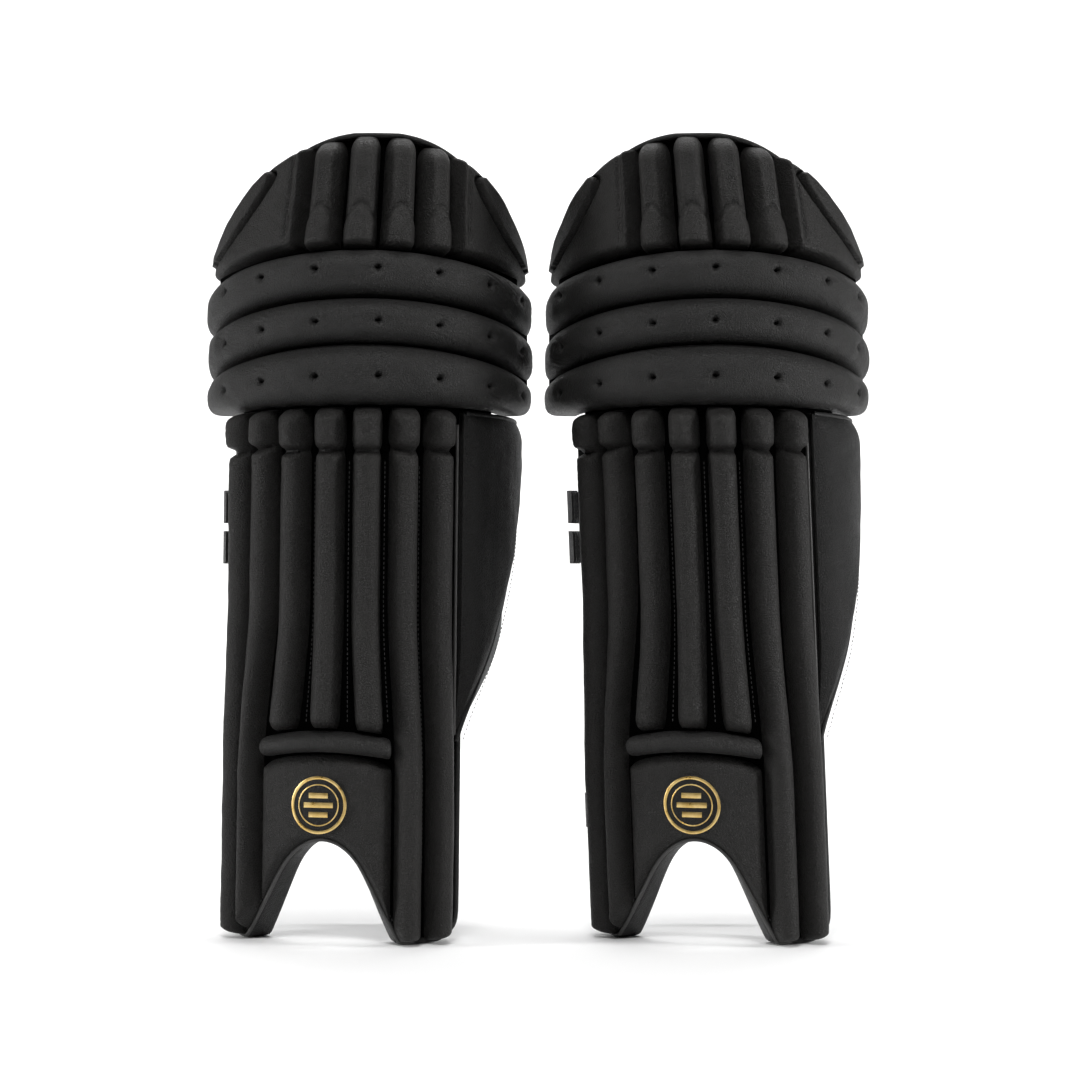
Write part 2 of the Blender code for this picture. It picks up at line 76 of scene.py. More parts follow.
# --- layers, as radii from the leg's axis ---
LINING = (100.0, 109.8)
SHELL = (117.8, 121.8)
GUSSET = (116.0, 117.6)
GUSSET_END_RISE = 24.0
RIB_BASE = 121.6
RIB_CREST = 142.5
BULB_CREST = 146.5
PANEL_CREST = 132.5
ROLL = (117.8, 148.0)
HAT_BACK = (104.0, 117.6)
HAT_BASE = 117.4
HAT_RIB_CREST = 141.5
HAT_BOLSTER_CREST = 141.0
HAT_SET_BACK = 0.09
HAT_RIB_ANGLES = (-19.0, -4.3, 10.4, 25.1)
HAT_RIB_HALF_WIDTH = 6.35
BOLSTERS = (("top_bolster_plain_side", -1, 26.7), ("top_bolster_wing_side", 1, 32.9))
BOLSTER_FACE = 128.0
EDGE_LAP = 0.6

# --- heights and angles ---
SHIN_TOP = 463.0
HAT_FOOT = 599.0
HAT_TOP = 698.5
HAT_DOME_HEIGHT = 143.5
HAT_DOME_ANGLE = 90.0
HAT_DOME_POWER = 0.45
HAT_CORNER_ANGLE = 84.0
END_DROOP = 30.0
ROLL_END = 88.0
SHIN_DROOP = 0.17
HEM = 3.2
SHELL_ANGLES = (-71.0, 44.0)
LINING_ANGLES = (-68.0, 42.0)

# --- shin ribs: angle at the knee, angle at the foot, share of the width kept at the foot ---
SHIN_RIBS = (
    (-55.3, -58.3, 0.85),
    (-40.9, -47.6, 0.66),
    (-26.5, -32.6, 1.00),
    (-12.1, -13.8, 1.00),
    (2.3, 5.2, 1.00),
    (16.7, 20.2, 0.92),
    (31.1, 33.4, 0.90),
)
SPREAD_HEIGHTS = (130.0, 300.0)
RIB_HALF_WIDTH = 5.65
SHORT_RIBS = (3, 4, 5)
SHORT_RIB_FOOT = 187.0
CREASE_HEIGHT = 426.0
BULB_HEIGHT = 446.0
BULB_HALF_HEIGHT = 17.5

# --- instep ---
ARCH_HEIGHT = 89.0
ARCH_HALF_WIDTH = 50.0
ARCH_FLARE = 17.0
ARCH_FLARE_HEIGHT = 62.0
ARCH_ANGLE = -14.4
BAR_ANGLES = (-39.9, 12.6)
PANEL_ANGLES = (-42.2, 13.6)
BAR_HEIGHTS = (166.5, 185.0)
PANEL_TOP = 164.5
INSTEP_BEND = 7.0

# --- badge: height of its middle, rings as radius and width, half-lengths of the bars ---
BADGE_HEIGHT = 122.0
BADGE_RADIUS = 26.0
BADGE_RINGS = ((23.5, 2.6), (17.6, 1.1))
BADGE_BARS = (8.5, 13.0, 8.5)
BADGE_BAR_PITCH = 8.2
BADGE_RELIEF = 0.35

# --- wing, side wrap and straps ---
WING_ANGLES = (41.6, 100.0)
WING = (128.0, 137.0)
WING_FOOT = 174.0
WING_FULL_HEIGHT = 420.0
WING_FOOT_ANGLE = 42.0
WING_SWEEP = 1.1
WING_SINK = 6.0
WING_BELOW_TOP = 3.0
WRAP_HEIGHTS = (88.0, 415.0)
ANKLE_WRAP = 70.0
PATCH_ANGLES = (-70.8, -65.2)
PATCH = (121.9, 123.6)
PATCH_HEIGHTS = (84.0, 404.0)
CALF_PATH = (
    (112.0, 41.0), (96.0, 72.0), (60.0, 103.0), (8.0, 117.0), (-48.0, 109.0),
    (-92.0, 77.0), (-117.0, 33.0), (-125.5, -8.0), (-125.0, -30.0), (-121.0, -46.0),
)
ANKLE_PATH = (
    (68.5, 31.0), (55.0, 52.0), (28.0, 68.0), (-12.0, 74.0), (-55.0, 62.0),
    (-89.0, 34.0), (-109.0, 4.0), (-117.5, -20.0), (-119.5, -33.0), (-118.8, -44.0),
)

STRAPS = (
    ("calf_strap_upper", CALF_PATH),
    ("calf_strap_lower", CALF_PATH),
    ("ankle_strap", ANKLE_PATH),
)

# --- knee rolls: lower edge, upper edge, lower edge's share of the droop, end taper, dimples ---
ROLLS = {
    "knee_roll_1": (558.0, 598.0, 1.0, 0.99, 581.5),
    "knee_roll_2": (518.3, 556.7, 1.0, 1.00, 536.5),
    "knee_roll_3": (465.0, 517.0, SHIN_DROOP, 1.00, 489.0),
}
DIMPLE_TURN = 2.7
DIMPLE_PITCH = 21.5
DIMPLES_EACH_SIDE = 3
ROLL_FACE = 145.0

# --- the pads: lean of the shin's foot, lean of the top hat's crown, turn of the knee and top hat ---
PADS = {
    "right_pad": (-5.5, 6.2, 3.2),
    "left_pad": (18.5, -9.0, -2.6),
}


# ===== shapes of the pad

def mix(low, high, share):
    return low + (high - low) * share


def clip(value):
    return np.clip(value, 0.0, 1.0)


def down(count):
    """Shares from 0 to 1 as a column."""
    return np.linspace(0.0, 1.0, count)[:, None]


def over(count):
    """Shares from 0 to 1 as a row."""
    return np.linspace(0.0, 1.0, count)[None, :]


def dome(share, power):
    """0 at both ends of the share and 1 in the middle; a higher power has a flatter top."""
    return clip(1.0 - np.abs(2.0 * share - 1.0) ** power) ** (1.0 / power)


def bump(value, centre, width):
    return np.exp(-((value - centre) / width) ** 2)


def step(value, start, end):
    share = clip((value - start) / (end - start))
    return share * share * (3.0 - 2.0 * share)


def droop(angle):
    return END_DROOP * (1.0 - np.cos(np.radians(angle))) / (1.0 - math.cos(math.radians(ROLL_END)))


def hat_edge(height):
    share = np.maximum(0.0, (HAT_TOP - height) / HAT_DOME_HEIGHT)
    return HAT_DOME_ANGLE * share ** HAT_DOME_POWER


def hat_crown(angle):
    return HAT_TOP - HAT_DOME_HEIGHT * (np.abs(angle) / HAT_DOME_ANGLE) ** (1.0 / HAT_DOME_POWER)


def hat_foot(angle):
    return HAT_FOOT - droop(angle)


def shin_top(angle):
    return SHIN_TOP - SHIN_DROOP * droop(angle)


def rib_spread(number, height):
    """Angle and half-width of a shin rib at this height."""
    knee, foot, width = SHIN_RIBS[number - 1]
    gathered = step(height, *SPREAD_HEIGHTS)
    return mix(foot, knee, gathered), RIB_HALF_WIDTH * mix(width, 1.0, gathered)


def instep_bend(angle):
    half = (PANEL_ANGLES[1] - PANEL_ANGLES[0]) / 2.0
    return INSTEP_BEND * ((angle - ARCH_ANGLE) / half) ** 2


def arch_table():
    """Half-widths of the instep cut-out from the crown of the arch down to the floor."""
    height = ARCH_HEIGHT * np.cos(np.linspace(0.0, math.pi / 2.0, 60))
    ellipse = ARCH_HALF_WIDTH * np.sqrt(np.maximum(0.0, 1.0 - (height / ARCH_HEIGHT) ** 2))
    flare = ARCH_FLARE * np.maximum(0.0, 1.0 - height / ARCH_FLARE_HEIGHT) ** 2
    return ellipse + flare, height


ARCH_WIDTHS, ARCH_LEVELS = arch_table()


def across(angle):
    """Sideways distance of the shin face from the middle of the instep cut-out."""
    return RIB_BASE * (np.sin(np.radians(angle)) - math.sin(math.radians(ARCH_ANGLE)))


def hem(angle):
    """Height of the pad's lower edge: two rounded legs with the instep arch between them."""
    arch = np.interp(np.abs(across(angle)), ARCH_WIDTHS, ARCH_LEVELS)
    outer_left = 17.0 * clip((-55.0 - angle) / 16.0) ** 2.0
    outer_right = 14.0 * clip((angle - 32.0) / 12.0) ** 2.0
    return np.maximum(arch, 0.0) + HEM + outer_left + outer_right


def hem_angles(first, last, count):
    """Angles between two limits, packed closely where the arch is steep."""
    even = np.linspace(first, last, count)
    centre = math.sin(math.radians(ARCH_ANGLE))
    steep = []
    for side in (-1.0, 1.0):
        sine = centre + side * ARCH_WIDTHS / RIB_BASE
        steep.append(np.degrees(np.arcsin(sine)))
    angles = np.concatenate([even] + steep)
    angles = np.unique(np.round(angles[(angles >= first) & (angles <= last)], 2))
    keep = np.concatenate([[True], np.diff(angles) > 0.12])
    return angles[keep]


def ripple(points, size, seed):
    """Smooth irregularity of roughly -1 to 1 with features of this size, in millimetres."""
    rng = np.random.default_rng(seed)
    total = np.zeros(points.shape[:-1])
    for _ in range(7):
        direction = rng.normal(size=3)
        direction /= np.linalg.norm(direction)
        wave = 2.0 * math.pi / (size * MM) * rng.uniform(0.55, 1.5)
        total += np.sin(points @ direction * wave + rng.uniform(0.0, 2.0 * math.pi))
    return total / 3.5


def eased(count):
    """Shares from 0 to 1, packed closely at both ends."""
    return 0.5 - 0.5 * np.cos(np.linspace(0.0, math.pi, count))


def rounded(inset, width, power):
    """Rises from 0 at an edge to 1 at this distance inside it."""
    return 1.0 - (1.0 - clip(inset / width)) ** power


def unit(vectors):
    return vectors / np.linalg.norm(vectors, axis=1, keepdims=True)


class Pad:
    """Where one pad stands, and how its soft body leans."""

    def __init__(self, name, foot_lean, crown_lean, turn):
        low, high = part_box(f"{name}_knee_roll_2")
        self.name = name
        self.centre = (low[0] + high[0]) / 2.0
        self.depth = low[1] + ROLL[1] * MM
        self.foot_lean = foot_lean
        self.crown_lean = crown_lean
        self.turn = turn
        self.seed = 11 if name == "right_pad" else 57

    def lean(self, height):
        below = self.foot_lean * np.maximum(0.0, (SHIN_TOP - height) / SHIN_TOP)
        above = self.crown_lean * np.maximum(0.0, (height - HAT_FOOT) / (HAT_TOP - HAT_FOOT))
        return below + above

    def flat(self, x, y, height):
        x, y, height = np.broadcast_arrays(x, y, height)
        return np.stack([self.centre + (x + self.lean(height)) * MM, self.depth + y * MM, height * MM], -1)

    def place(self, radius, angle, height):
        turn = np.radians(angle)
        return self.flat(radius * np.sin(turn), -radius * np.cos(turn), height)

    def hat(self, radius, angle, height):
        back = HAT_SET_BACK * np.maximum(0.0, height - HAT_FOOT)
        return self.place(radius - back, angle + self.turn, height)

    def foot_of_hat(self, angle):
        return hat_foot(angle + self.turn)

    def outward(self, angle):
        turn = np.radians(angle)
        return np.stack([np.sin(turn), -np.cos(turn), np.zeros_like(turn)], -1)


# ===== mesh building

def make_object(name, points, faces, smooth_angle=50.0):
    mesh = bpy.data.meshes.new(name)
    mesh.from_pydata([tuple(point) for point in points], [], [tuple(face) for face in faces])
    mesh.validate()
    mesh.shade_smooth()
    mesh.set_sharp_from_angle(angle=math.radians(smooth_angle))
    item = bpy.data.objects.new(name, mesh)
    bpy.context.scene.collection.objects.link(item)
    return item


def quads(index):
    """Faces of a grid of vertex numbers."""
    a, b = index[:-1, :-1], index[:-1, 1:]
    c, d = index[1:, 1:], index[1:, :-1]
    return np.stack([a, b, c, d], -1).reshape(-1, 4)


def solid(name, outer, inner):
    """A closed solid between two grids of points with the same layout."""
    rows, columns = outer.shape[:2]
    count = rows * columns
    top = np.arange(count).reshape(rows, columns)
    bottom = top + count
    border = np.concatenate([top[0, :-1], top[:-1, -1], top[-1, :0:-1], top[:0:-1, 0]])
    after = np.roll(border, -1)
    walls = np.stack([after, border, border + count, after + count], -1)
    faces = np.concatenate([quads(top), quads(bottom)[:, ::-1], walls])
    points = np.concatenate([outer.reshape(-1, 3), inner.reshape(-1, 3)])
    return make_object(name, points, faces)


def sweep(name, path, side, other, section, closed=False):
    """A bar along a path; each section point is its reach along the two side vectors, in millimetres."""
    section = np.array(section)
    rings = (path[:, None] + side[:, None] * section[None, :, :1] * MM
             + other[:, None] * section[None, :, 1:] * MM)
    rows, columns = rings.shape[:2]
    index = np.arange(rows * columns).reshape(rows, columns)
    index = np.concatenate([index, index[:, :1]], 1)
    if closed:
        index = np.concatenate([index, index[:1]], 0)
    faces = [tuple(face) for face in quads(index)]
    if not closed:
        faces.append(tuple(index[0, :-1][::-1]))
        faces.append(tuple(index[-1, :-1]))
    return make_object(name, rings.reshape(-1, 3), faces)


def oval(half_a, half_b, count=10, power=2.0):
    """Points round an oval section; a power above 2 squares it."""
    turn = np.linspace(0.0, 2.0 * math.pi, count, endpoint=False)
    cosine, sine = np.cos(turn), np.sin(turn)
    a = np.sign(cosine) * np.abs(cosine) ** (2.0 / power) * half_a
    b = np.sign(sine) * np.abs(sine) ** (2.0 / power) * half_b
    return np.stack([a, b], -1)


def along(path):
    """Unit direction of travel at each point of a path."""
    direction = np.gradient(path, axis=0)
    return direction / np.maximum(np.linalg.norm(direction, axis=1, keepdims=True), 1e-9)


def along_line(travel, values, distance):
    return np.array([np.interp(distance, travel, values[:, axis]) for axis in range(3)])


def stitch_row(name, path, lift, length=2.6, gap=1.5, thick=0.42):
    """Separate thread stitches laid end to end along a path."""
    spans = np.linalg.norm(np.diff(path, axis=0), axis=1)
    travel = np.concatenate([[0.0], np.cumsum(spans)]) / MM
    starts = np.arange(gap, travel[-1] - length - gap, length + gap)
    ring = oval(1.0, 1.0, 6)
    fat = np.array([0.35, 1.0, 1.0, 0.35])
    share = np.array([0.0, 0.22, 0.78, 1.0])
    points, faces = [], []
    for start in starts:
        at = [along_line(travel, path, start + length * s) for s in share]
        up = along_line(travel, lift, start + length / 2.0)
        run = at[-1] - at[0]
        run /= np.linalg.norm(run)
        side = np.cross(run, up)
        base = len(points)
        for place, width in zip(at, fat):
            for a, b in ring:
                points.append(place + (side * a + up * b) * width * thick * MM)
        index = base + np.arange(24).reshape(4, 6)
        index = np.concatenate([index, index[:, :1]], 1)
        faces += [tuple(face) for face in quads(index)]
        faces.append(tuple(index[0, :-1][::-1]))
        faces.append(tuple(index[-1, :-1]))
    return make_object(name, points, faces)


# ===== materials

class Nodes:
    """A short way to wire a material's nodes."""

    def __init__(self, name):
        self.material = bpy.data.materials.new(name)
        self.material.use_nodes = True
        self.tree = self.material.node_tree
        self.shader = self.tree.nodes["Principled BSDF"]
        coordinate = self.tree.nodes.new("ShaderNodeTexCoord")
        self.where = coordinate.outputs["Object"]

    def add(self, kind, **settings):
        node = self.tree.nodes.new(kind)
        for key, value in settings.items():
            setattr(node, key, value)
        return node

    def link(self, start, end):
        self.tree.links.new(start, end)

    def texture(self, kind, output, values, **settings):
        node = self.add(kind, **settings)
        for name, value in values.items():
            node.inputs[name].default_value = value
        self.link(self.where, node.inputs["Vector"])
        return node.outputs[output]

    def noise(self, scale, detail=4.0, roughness=0.55):
        values = {"Scale": scale, "Detail": detail, "Roughness": roughness}
        return self.texture("ShaderNodeTexNoise", "Fac", values)

    def cells(self, scale, feature="F1"):
        return self.texture("ShaderNodeTexVoronoi", "Distance", {"Scale": scale}, feature=feature)

    def blend(self, first, share, second):
        """A weighted sum of two values."""
        rest = self.math("MULTIPLY", second, round(1.0 - share, 2))
        return self.math("ADD", self.math("MULTIPLY", first, share), rest)

    def ramp(self, source, stops):
        node = self.add("ShaderNodeValToRGB")
        ramp = node.color_ramp
        while len(ramp.elements) < len(stops):
            ramp.elements.new(0.5)
        for element, (position, colour) in zip(ramp.elements, stops):
            element.position = position
            element.color = colour
        self.link(source, node.inputs["Fac"])
        return node.outputs["Color"]

    def math(self, operation, first, second):
        node = self.add("ShaderNodeMath", operation=operation)
        for socket, value in zip(node.inputs, (first, second)):
            if isinstance(value, (int, float)):
                socket.default_value = value
            else:
                self.link(value, socket)
        return node.outputs["Value"]

    def bump(self, height, strength, distance, below=None):
        node = self.add("ShaderNodeBump")
        node.inputs["Strength"].default_value = strength
        node.inputs["Distance"].default_value = distance
        self.link(height, node.inputs["Height"])
        if below is not None:
            self.link(below, node.inputs["Normal"])
        return node.outputs["Normal"]

    def paint(self, socket, source, *stops):
        """Drive one of the shader's sockets from a ramp."""
        self.link(self.ramp(source, stops), self.shader.inputs[socket])

    def set(self, **values):
        for key, value in values.items():
            self.shader.inputs[key.replace("_", " ")].default_value = value


def grey(level, warm=0.0):
    return (level * (1.0 + warm), level, level * (1.0 - warm), 1.0)


def leather(name, dark, light, rough, grain=1.0, warm=0.02, gloss=0.5):
    """Pebbled synthetic leather: two sizes of grain, fine creases, rubbed high spots and dull patches."""
    n = Nodes(name)
    broad = n.noise(14.0, 5.0)
    mottled = n.noise(160.0, 3.0)
    worn = n.blend(broad, 0.65, mottled)
    colour = n.ramp(worn, [(0.32, grey(dark, warm)), (0.7, grey(light, warm))])
    geometry = n.add("ShaderNodeNewGeometry")
    edge = n.ramp(geometry.outputs["Pointiness"], [(0.49, grey(0.0)), (0.56, grey(1.0))])
    rubbed = n.add("ShaderNodeMix", data_type="RGBA")
    rubbed.inputs[7].default_value = grey(light * 1.8, warm)
    n.link(n.math("MULTIPLY", edge, 0.35), rubbed.inputs[0])
    n.link(colour, rubbed.inputs[6])
    n.link(rubbed.outputs[2], n.shader.inputs["Base Color"])
    shine = n.ramp(n.blend(broad, 0.5, mottled),
                   [(0.3, grey(rough - 0.09)), (0.72, grey(rough + 0.10))])
    n.link(shine, n.shader.inputs["Roughness"])
    creases = n.cells(420.0, "DISTANCE_TO_EDGE")
    pebbles = n.cells(800.0)
    pores = n.noise(2400.0, 2.0)
    wrinkles = n.noise(60.0, 7.0, 0.66)
    normal = n.bump(wrinkles, 0.40 * grain, 0.0040)
    normal = n.bump(n.math("MINIMUM", creases, 0.14), 0.85 * grain, 0.0030, normal)
    normal = n.bump(pebbles, 0.40 * grain, 0.0009, normal)
    normal = n.bump(pores, 0.20 * grain, 0.0004, normal)
    n.link(normal, n.shader.inputs["Normal"])
    n.set(Sheen_Weight=0.01, Sheen_Roughness=0.45, Specular_IOR_Level=gloss)
    return n.material


def woven(name, dark, light, thread, rough=0.9, lustre=0.3):
    """Plain weave: two crossed sets of threads with fuzz."""
    n = Nodes(name)
    heights = []
    values = {"Scale": thread, "Distortion": 0.4, "Detail": 1.0}
    for direction in ("X", "Z"):
        heights.append(n.texture("ShaderNodeTexWave", "Fac", values, bands_direction=direction))
    weave = n.math("MAXIMUM", *heights)
    fuzz = n.noise(900.0, 3.0)
    tone = n.blend(weave, 0.6, fuzz)
    n.paint("Base Color", tone, (0.25, grey(dark)), (0.85, grey(light)))
    normal = n.bump(weave, 0.6, 0.0006)
    n.link(n.bump(fuzz, 0.25, 0.0004, normal), n.shader.inputs["Normal"])
    n.set(Roughness=rough, Sheen_Weight=lustre, Sheen_Roughness=0.5)
    return n.material


def brushed(name, dark, light):
    """Short loop pile of a hook-and-loop strip."""
    n = Nodes(name)
    pile = n.cells(1100.0)
    patchy = n.noise(60.0, 5.0)
    tone = n.blend(pile, 0.5, patchy)
    n.paint("Base Color", tone, (0.2, grey(dark)), (0.8, grey(light)))
    n.link(n.bump(pile, 0.8, 0.0009), n.shader.inputs["Normal"])
    n.set(Roughness=0.95, Sheen_Weight=0.4, Sheen_Roughness=0.4)
    return n.material


def cane(name):
    n = Nodes(name)
    stretch = n.add("ShaderNodeMapping")
    stretch.inputs["Scale"].default_value = (1.0, 1.0, 0.04)
    n.link(n.where, stretch.inputs["Vector"])
    n.where = stretch.outputs["Vector"]
    fibre = n.noise(700.0, 4.0)
    n.paint("Base Color", fibre, (0.3, (0.36, 0.24, 0.10, 1.0)), (0.7, (0.62, 0.47, 0.25, 1.0)))
    n.link(n.bump(fibre, 0.4, 0.0006), n.shader.inputs["Normal"])
    n.set(Roughness=0.55)
    return n.material


def foil(name):
    """Hot-stamped gold foil, slightly broken by the leather grain under it."""
    n = Nodes(name)
    patch = n.noise(120.0, 4.0)
    n.paint("Base Color", patch, (0.3, (0.60, 0.38, 0.10, 1.0)), (0.7, (0.86, 0.66, 0.30, 1.0)))
    n.paint("Roughness", patch, (0.3, grey(0.26)), (0.7, grey(0.42)))
    n.link(n.bump(n.cells(900.0), 0.15, 0.0004), n.shader.inputs["Normal"])
    n.set(Metallic=0.85)
    return n.material


def thread(name, level):
    n = Nodes(name)
    strand = n.noise(1500.0, 2.0)
    n.paint("Base Color", strand, (0.3, grey(level * 0.6)), (0.7, grey(level * 1.4)))
    n.link(n.bump(strand, 0.3, 0.0002), n.shader.inputs["Normal"])
    n.set(Roughness=0.5)
    return n.material


def make_materials():
    return {
        "leather": leather("black_leather", 0.0062, 0.0120, 0.52, warm=0.06, gloss=0.24),
        "roll": leather("roll_leather", 0.0075, 0.0140, 0.52, 0.9, warm=0.03, gloss=0.24),
        "wing": leather("wing_leather", 0.0052, 0.0090, 0.56, 1.1, gloss=0.18),
        # Near-black, nearly matt leather: painted shade for the grooves between the ribs, the gaps between
        # the rolls and the holes of the dimples.
        "gusset": leather("gusset_leather", 0.0004, 0.0008, 0.85, 0.8, gloss=0.01),
        "binding": leather("binding_leather", 0.004, 0.008, 0.45, 0.6, gloss=0.22),
        # Pale, glossy leather for the cords along the arch and the wing seam: its paleness is a painted
        # highlight on their edges.
        "painted_highlight_piping": leather("piping_leather", 0.020, 0.034, 0.40, 0.4, gloss=0.4),
        "lining": woven("lining_cloth", 0.010, 0.022, 260.0),
        "webbing": woven("strap_webbing", 0.007, 0.018, 150.0, 0.8, 0.2),
        "loop": brushed("loop_pile", 0.008, 0.022),
        "cane": cane("split_cane"),
        "gold": foil("gold_foil"),
        # Black thread, coloured lighter than the leather: painted glints on the stitches.
        "thread": thread("black_thread_painted_glints", 0.035),
    }


def dress(item, pad, body, material, nodes=(), fill=None):
    """Give a finished piece its material and body, and hide the CAD nodes that it stands for."""
    item.data.materials.append(MATERIALS[material])
    if body is not None:
        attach(item, f"{pad.name}_{body}")
    if nodes:
        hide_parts(*[f"{pad.name}_{node}" for node in nodes])
    return item


def layer(pad, label, outer, inner, body, material, nodes=(), fill=None):
    """A dressed closed solid between two grids of points."""
    return dress(solid(f"{pad.name}_{label}", outer, inner), pad, body, material, nodes, fill)


def between(pad, label, face, back, angle, height, *dressing, place=None):
    """A dressed closed solid between two radii over the same angles and heights."""
    place = place or pad.place
    return layer(pad, label, place(face, angle, height), place(back, angle, height), *dressing)


def bar(pad, label, path, side, other, section, body, material, closed=False):
    """A dressed bar along a path."""
    return dress(sweep(f"{pad.name}_{label}", path, side, other, section, closed), pad, body, material)


def stitches(pad, label, path, lift, body):
    """A dressed row of thread stitches."""
    return dress(stitch_row(f"{pad.name}_{label}", path, lift), pad, body, "thread")


# ===== padded ribs

def capped_levels(low, high, low_cap, high_cap, rows):
    """Shares of a rib's length, packed closely into its rounded ends."""
    span = high - low
    turn = np.linspace(0.0, math.pi / 2.0, 9)
    start = low_cap / span * (1.0 - np.cos(turn))
    end = 1.0 - high_cap / span * (1.0 - np.cos(turn))
    middle = np.linspace(start[-1], end[-1], rows)[1:-1]
    return np.concatenate([start, middle, end[::-1]])


def cap_height(share, span, low_cap, high_cap):
    """Rounds a rib off to nothing at its two ends."""
    low = clip(share * span / low_cap)
    high = clip((1.0 - share) * span / high_cap)
    return np.sqrt(1.0 - (1.0 - low) ** 2.0) * np.sqrt(1.0 - (1.0 - high) ** 2.0)


def cross_section(columns, power):
    """Sideways reach from -1 to 1 and height from 0 to 1 round half of a squared oval."""
    turn = np.linspace(0.0, math.pi, columns)
    cosine, sine = -np.cos(turn), np.sin(turn)
    reach = np.sign(cosine) * np.abs(cosine) ** (2.0 / power)
    rise = np.abs(sine) ** (2.0 / power)
    return reach, rise


def shin_rib(pad, number):
    short = number in SHORT_RIBS
    foot = SHORT_RIB_FOOT if short else HEM
    low_cap = 12.0 if short else 7.0
    share = capped_levels(foot, SHIN_TOP, low_cap, 11.0, 170)[:, None]
    reach, rise = cross_section(25, 2.12)
    span = SHIN_TOP - foot
    level = foot + span * share
    cap = cap_height(share, span, low_cap, 11.0)
    crease = bump(level, CREASE_HEIGHT, 3.6)
    bulb = dome(clip((level - BULB_HEIGHT) / (2.0 * BULB_HALF_HEIGHT) + 0.5), 2.6)
    narrow = 1.0 - 0.22 * (1.0 - cap) - 0.10 * crease + 0.05 * bulb
    angle, half = rib_spread(number, level)
    here = angle + half * narrow * reach
    crest = RIB_CREST + (BULB_CREST - RIB_CREST) * bulb - 8.5 * crease
    radius = RIB_BASE + (crest - RIB_BASE) * rise * cap
    hang = step(level, CREASE_HEIGHT - 18.0, SHIN_TOP - 6.0)
    floor = hem(here) if not short else foot - instep_bend(here) + 0.0 * here
    height = floor + (SHIN_TOP - floor) * share - hang * SHIN_DROOP * droop(here)
    points = pad.place(radius, here, height)
    seed = pad.seed + number
    soft = 0.55 * ripple(points, 70.0, seed) + 0.22 * ripple(points, 22.0, seed + 100)
    puckers = np.sin(height * 0.75 + 2.2 * ripple(points, 30.0, seed + 200))
    near_crease = np.exp(-np.abs(level - CREASE_HEIGHT + 4.0) / 13.0)
    near_foot = np.exp(-share * span / 14.0)
    on_bulb = 0.55 * ripple(points, 9.0, seed + 300) * step(level, CREASE_HEIGHT, CREASE_HEIGHT + 8.0)
    radius = radius + rise * cap * (soft + on_bulb + 0.45 * puckers * (near_crease + 0.8 * near_foot))
    between(pad, f"rib_{number}", radius, np.full_like(radius, RIB_BASE - EDGE_LAP), here, height,
            "shin", "leather", [f"shin_rib_{number}"], 0.85)


def hat_rib(pad, number, angle):
    foot, top = 1.0, float(hat_crown(angle)) - 1.0 - HAT_FOOT
    low_cap, high_cap = 6.0, 17.0
    share = capped_levels(foot, top, low_cap, high_cap, 90)[:, None]
    reach, rise = cross_section(29, 2.5)
    span = top - foot
    level = foot + span * share
    cap = cap_height(share, span, low_cap, high_cap)
    rounding = clip((level - top + 15.0) / 15.0)
    half = HAT_RIB_HALF_WIDTH * (1.0 - 0.40 * rounding ** 2.4) * (1.0 + 0.05 * step(30.0 - level, 0.0, 16.0))
    here = angle + half * reach
    radius = HAT_BASE + (HAT_RIB_CREST - HAT_BASE) * rise * cap
    ridge = 1.5 * (bump(reach, -0.42, 0.16) + bump(reach, 0.42, 0.16))
    ridge = ridge * step(level, 30.0, 52.0) * (1.0 - rounding)
    nail_edge = 37.0 - 19.0 * np.abs(reach) ** 1.7
    nail = step(nail_edge - level, -1.4, 3.2)
    nail_crown = 4.6 * nail * (0.45 + 0.55 * bump(level, 13.0, 16.0))
    notch = -1.5 * bump(level - nail_edge, 1.8, 2.0) * step(rise, 0.3, 0.8)
    radius = radius + cap * rise * (ridge + nail_crown + notch)
    height = HAT_FOOT + level - droop(here + pad.turn) * (1.0 - share) ** 1.5
    points = pad.place(radius, here, height)
    seed = pad.seed + 300 + number
    radius = radius + rise * cap * (0.45 * ripple(points, 45.0, seed) + 0.2 * ripple(points, 15.0, seed + 9))
    between(pad, f"hat_rib_{number}", radius, HAT_BASE - EDGE_LAP, here, height,
            "top_hat", "leather", [f"top_rib_{number}"], 0.85, place=pad.hat)


# ===== shin

def shin_face(pad):
    """The flat leather that the ribs are sewn to, seen in the grooves; its near-black colour is painted
    shade.
    """
    angles = hem_angles(*SHELL_ANGLES, 120)[None, :]
    share = down(90)
    height = hem(angles) + (shin_top(angles) - hem(angles)) * share
    points = pad.place(SHELL[1], angles, height)
    puckers = 0.25 * ripple(points, 9.0, pad.seed + 400)
    between(pad, "shin_face", SHELL[1] - 0.6 + puckers, SHELL[0], angles, height,
            "shin", "gusset", ["shin_shell"])


def shin_lining(pad):
    """Quilted lining: three upright channels and a soft edge all round."""
    angles = hem_angles(*LINING_ANGLES, 96)[None, :]
    share = down(100)
    low = hem(angles) + 1.5
    height = low + (shin_top(angles) - 2.0 - low) * share
    spread = (angles - LINING_ANGLES[0]) / (LINING_ANGLES[1] - LINING_ANGLES[0])
    channel = np.abs(np.sin(3.0 * math.pi * spread)) ** 0.55
    edge = clip(np.minimum(share, 1.0 - share) * 26.0) ** 0.5
    cross = 1.0 - 0.75 * bump((height % 115.0), 57.0, 4.0)
    points = pad.place(LINING[0], angles, height)
    swell = 4.6 * channel * edge * cross + 0.5 * ripple(points, 26.0, pad.seed + 410)
    inner = pad.place(LINING[0] + 5.0 - swell, angles + 0.0 * height, height)
    outer = pad.place(LINING[1], angles, height)
    layer(pad, "lining", inner, outer, "shin", "lining", ["shin_lining"], 0.6)


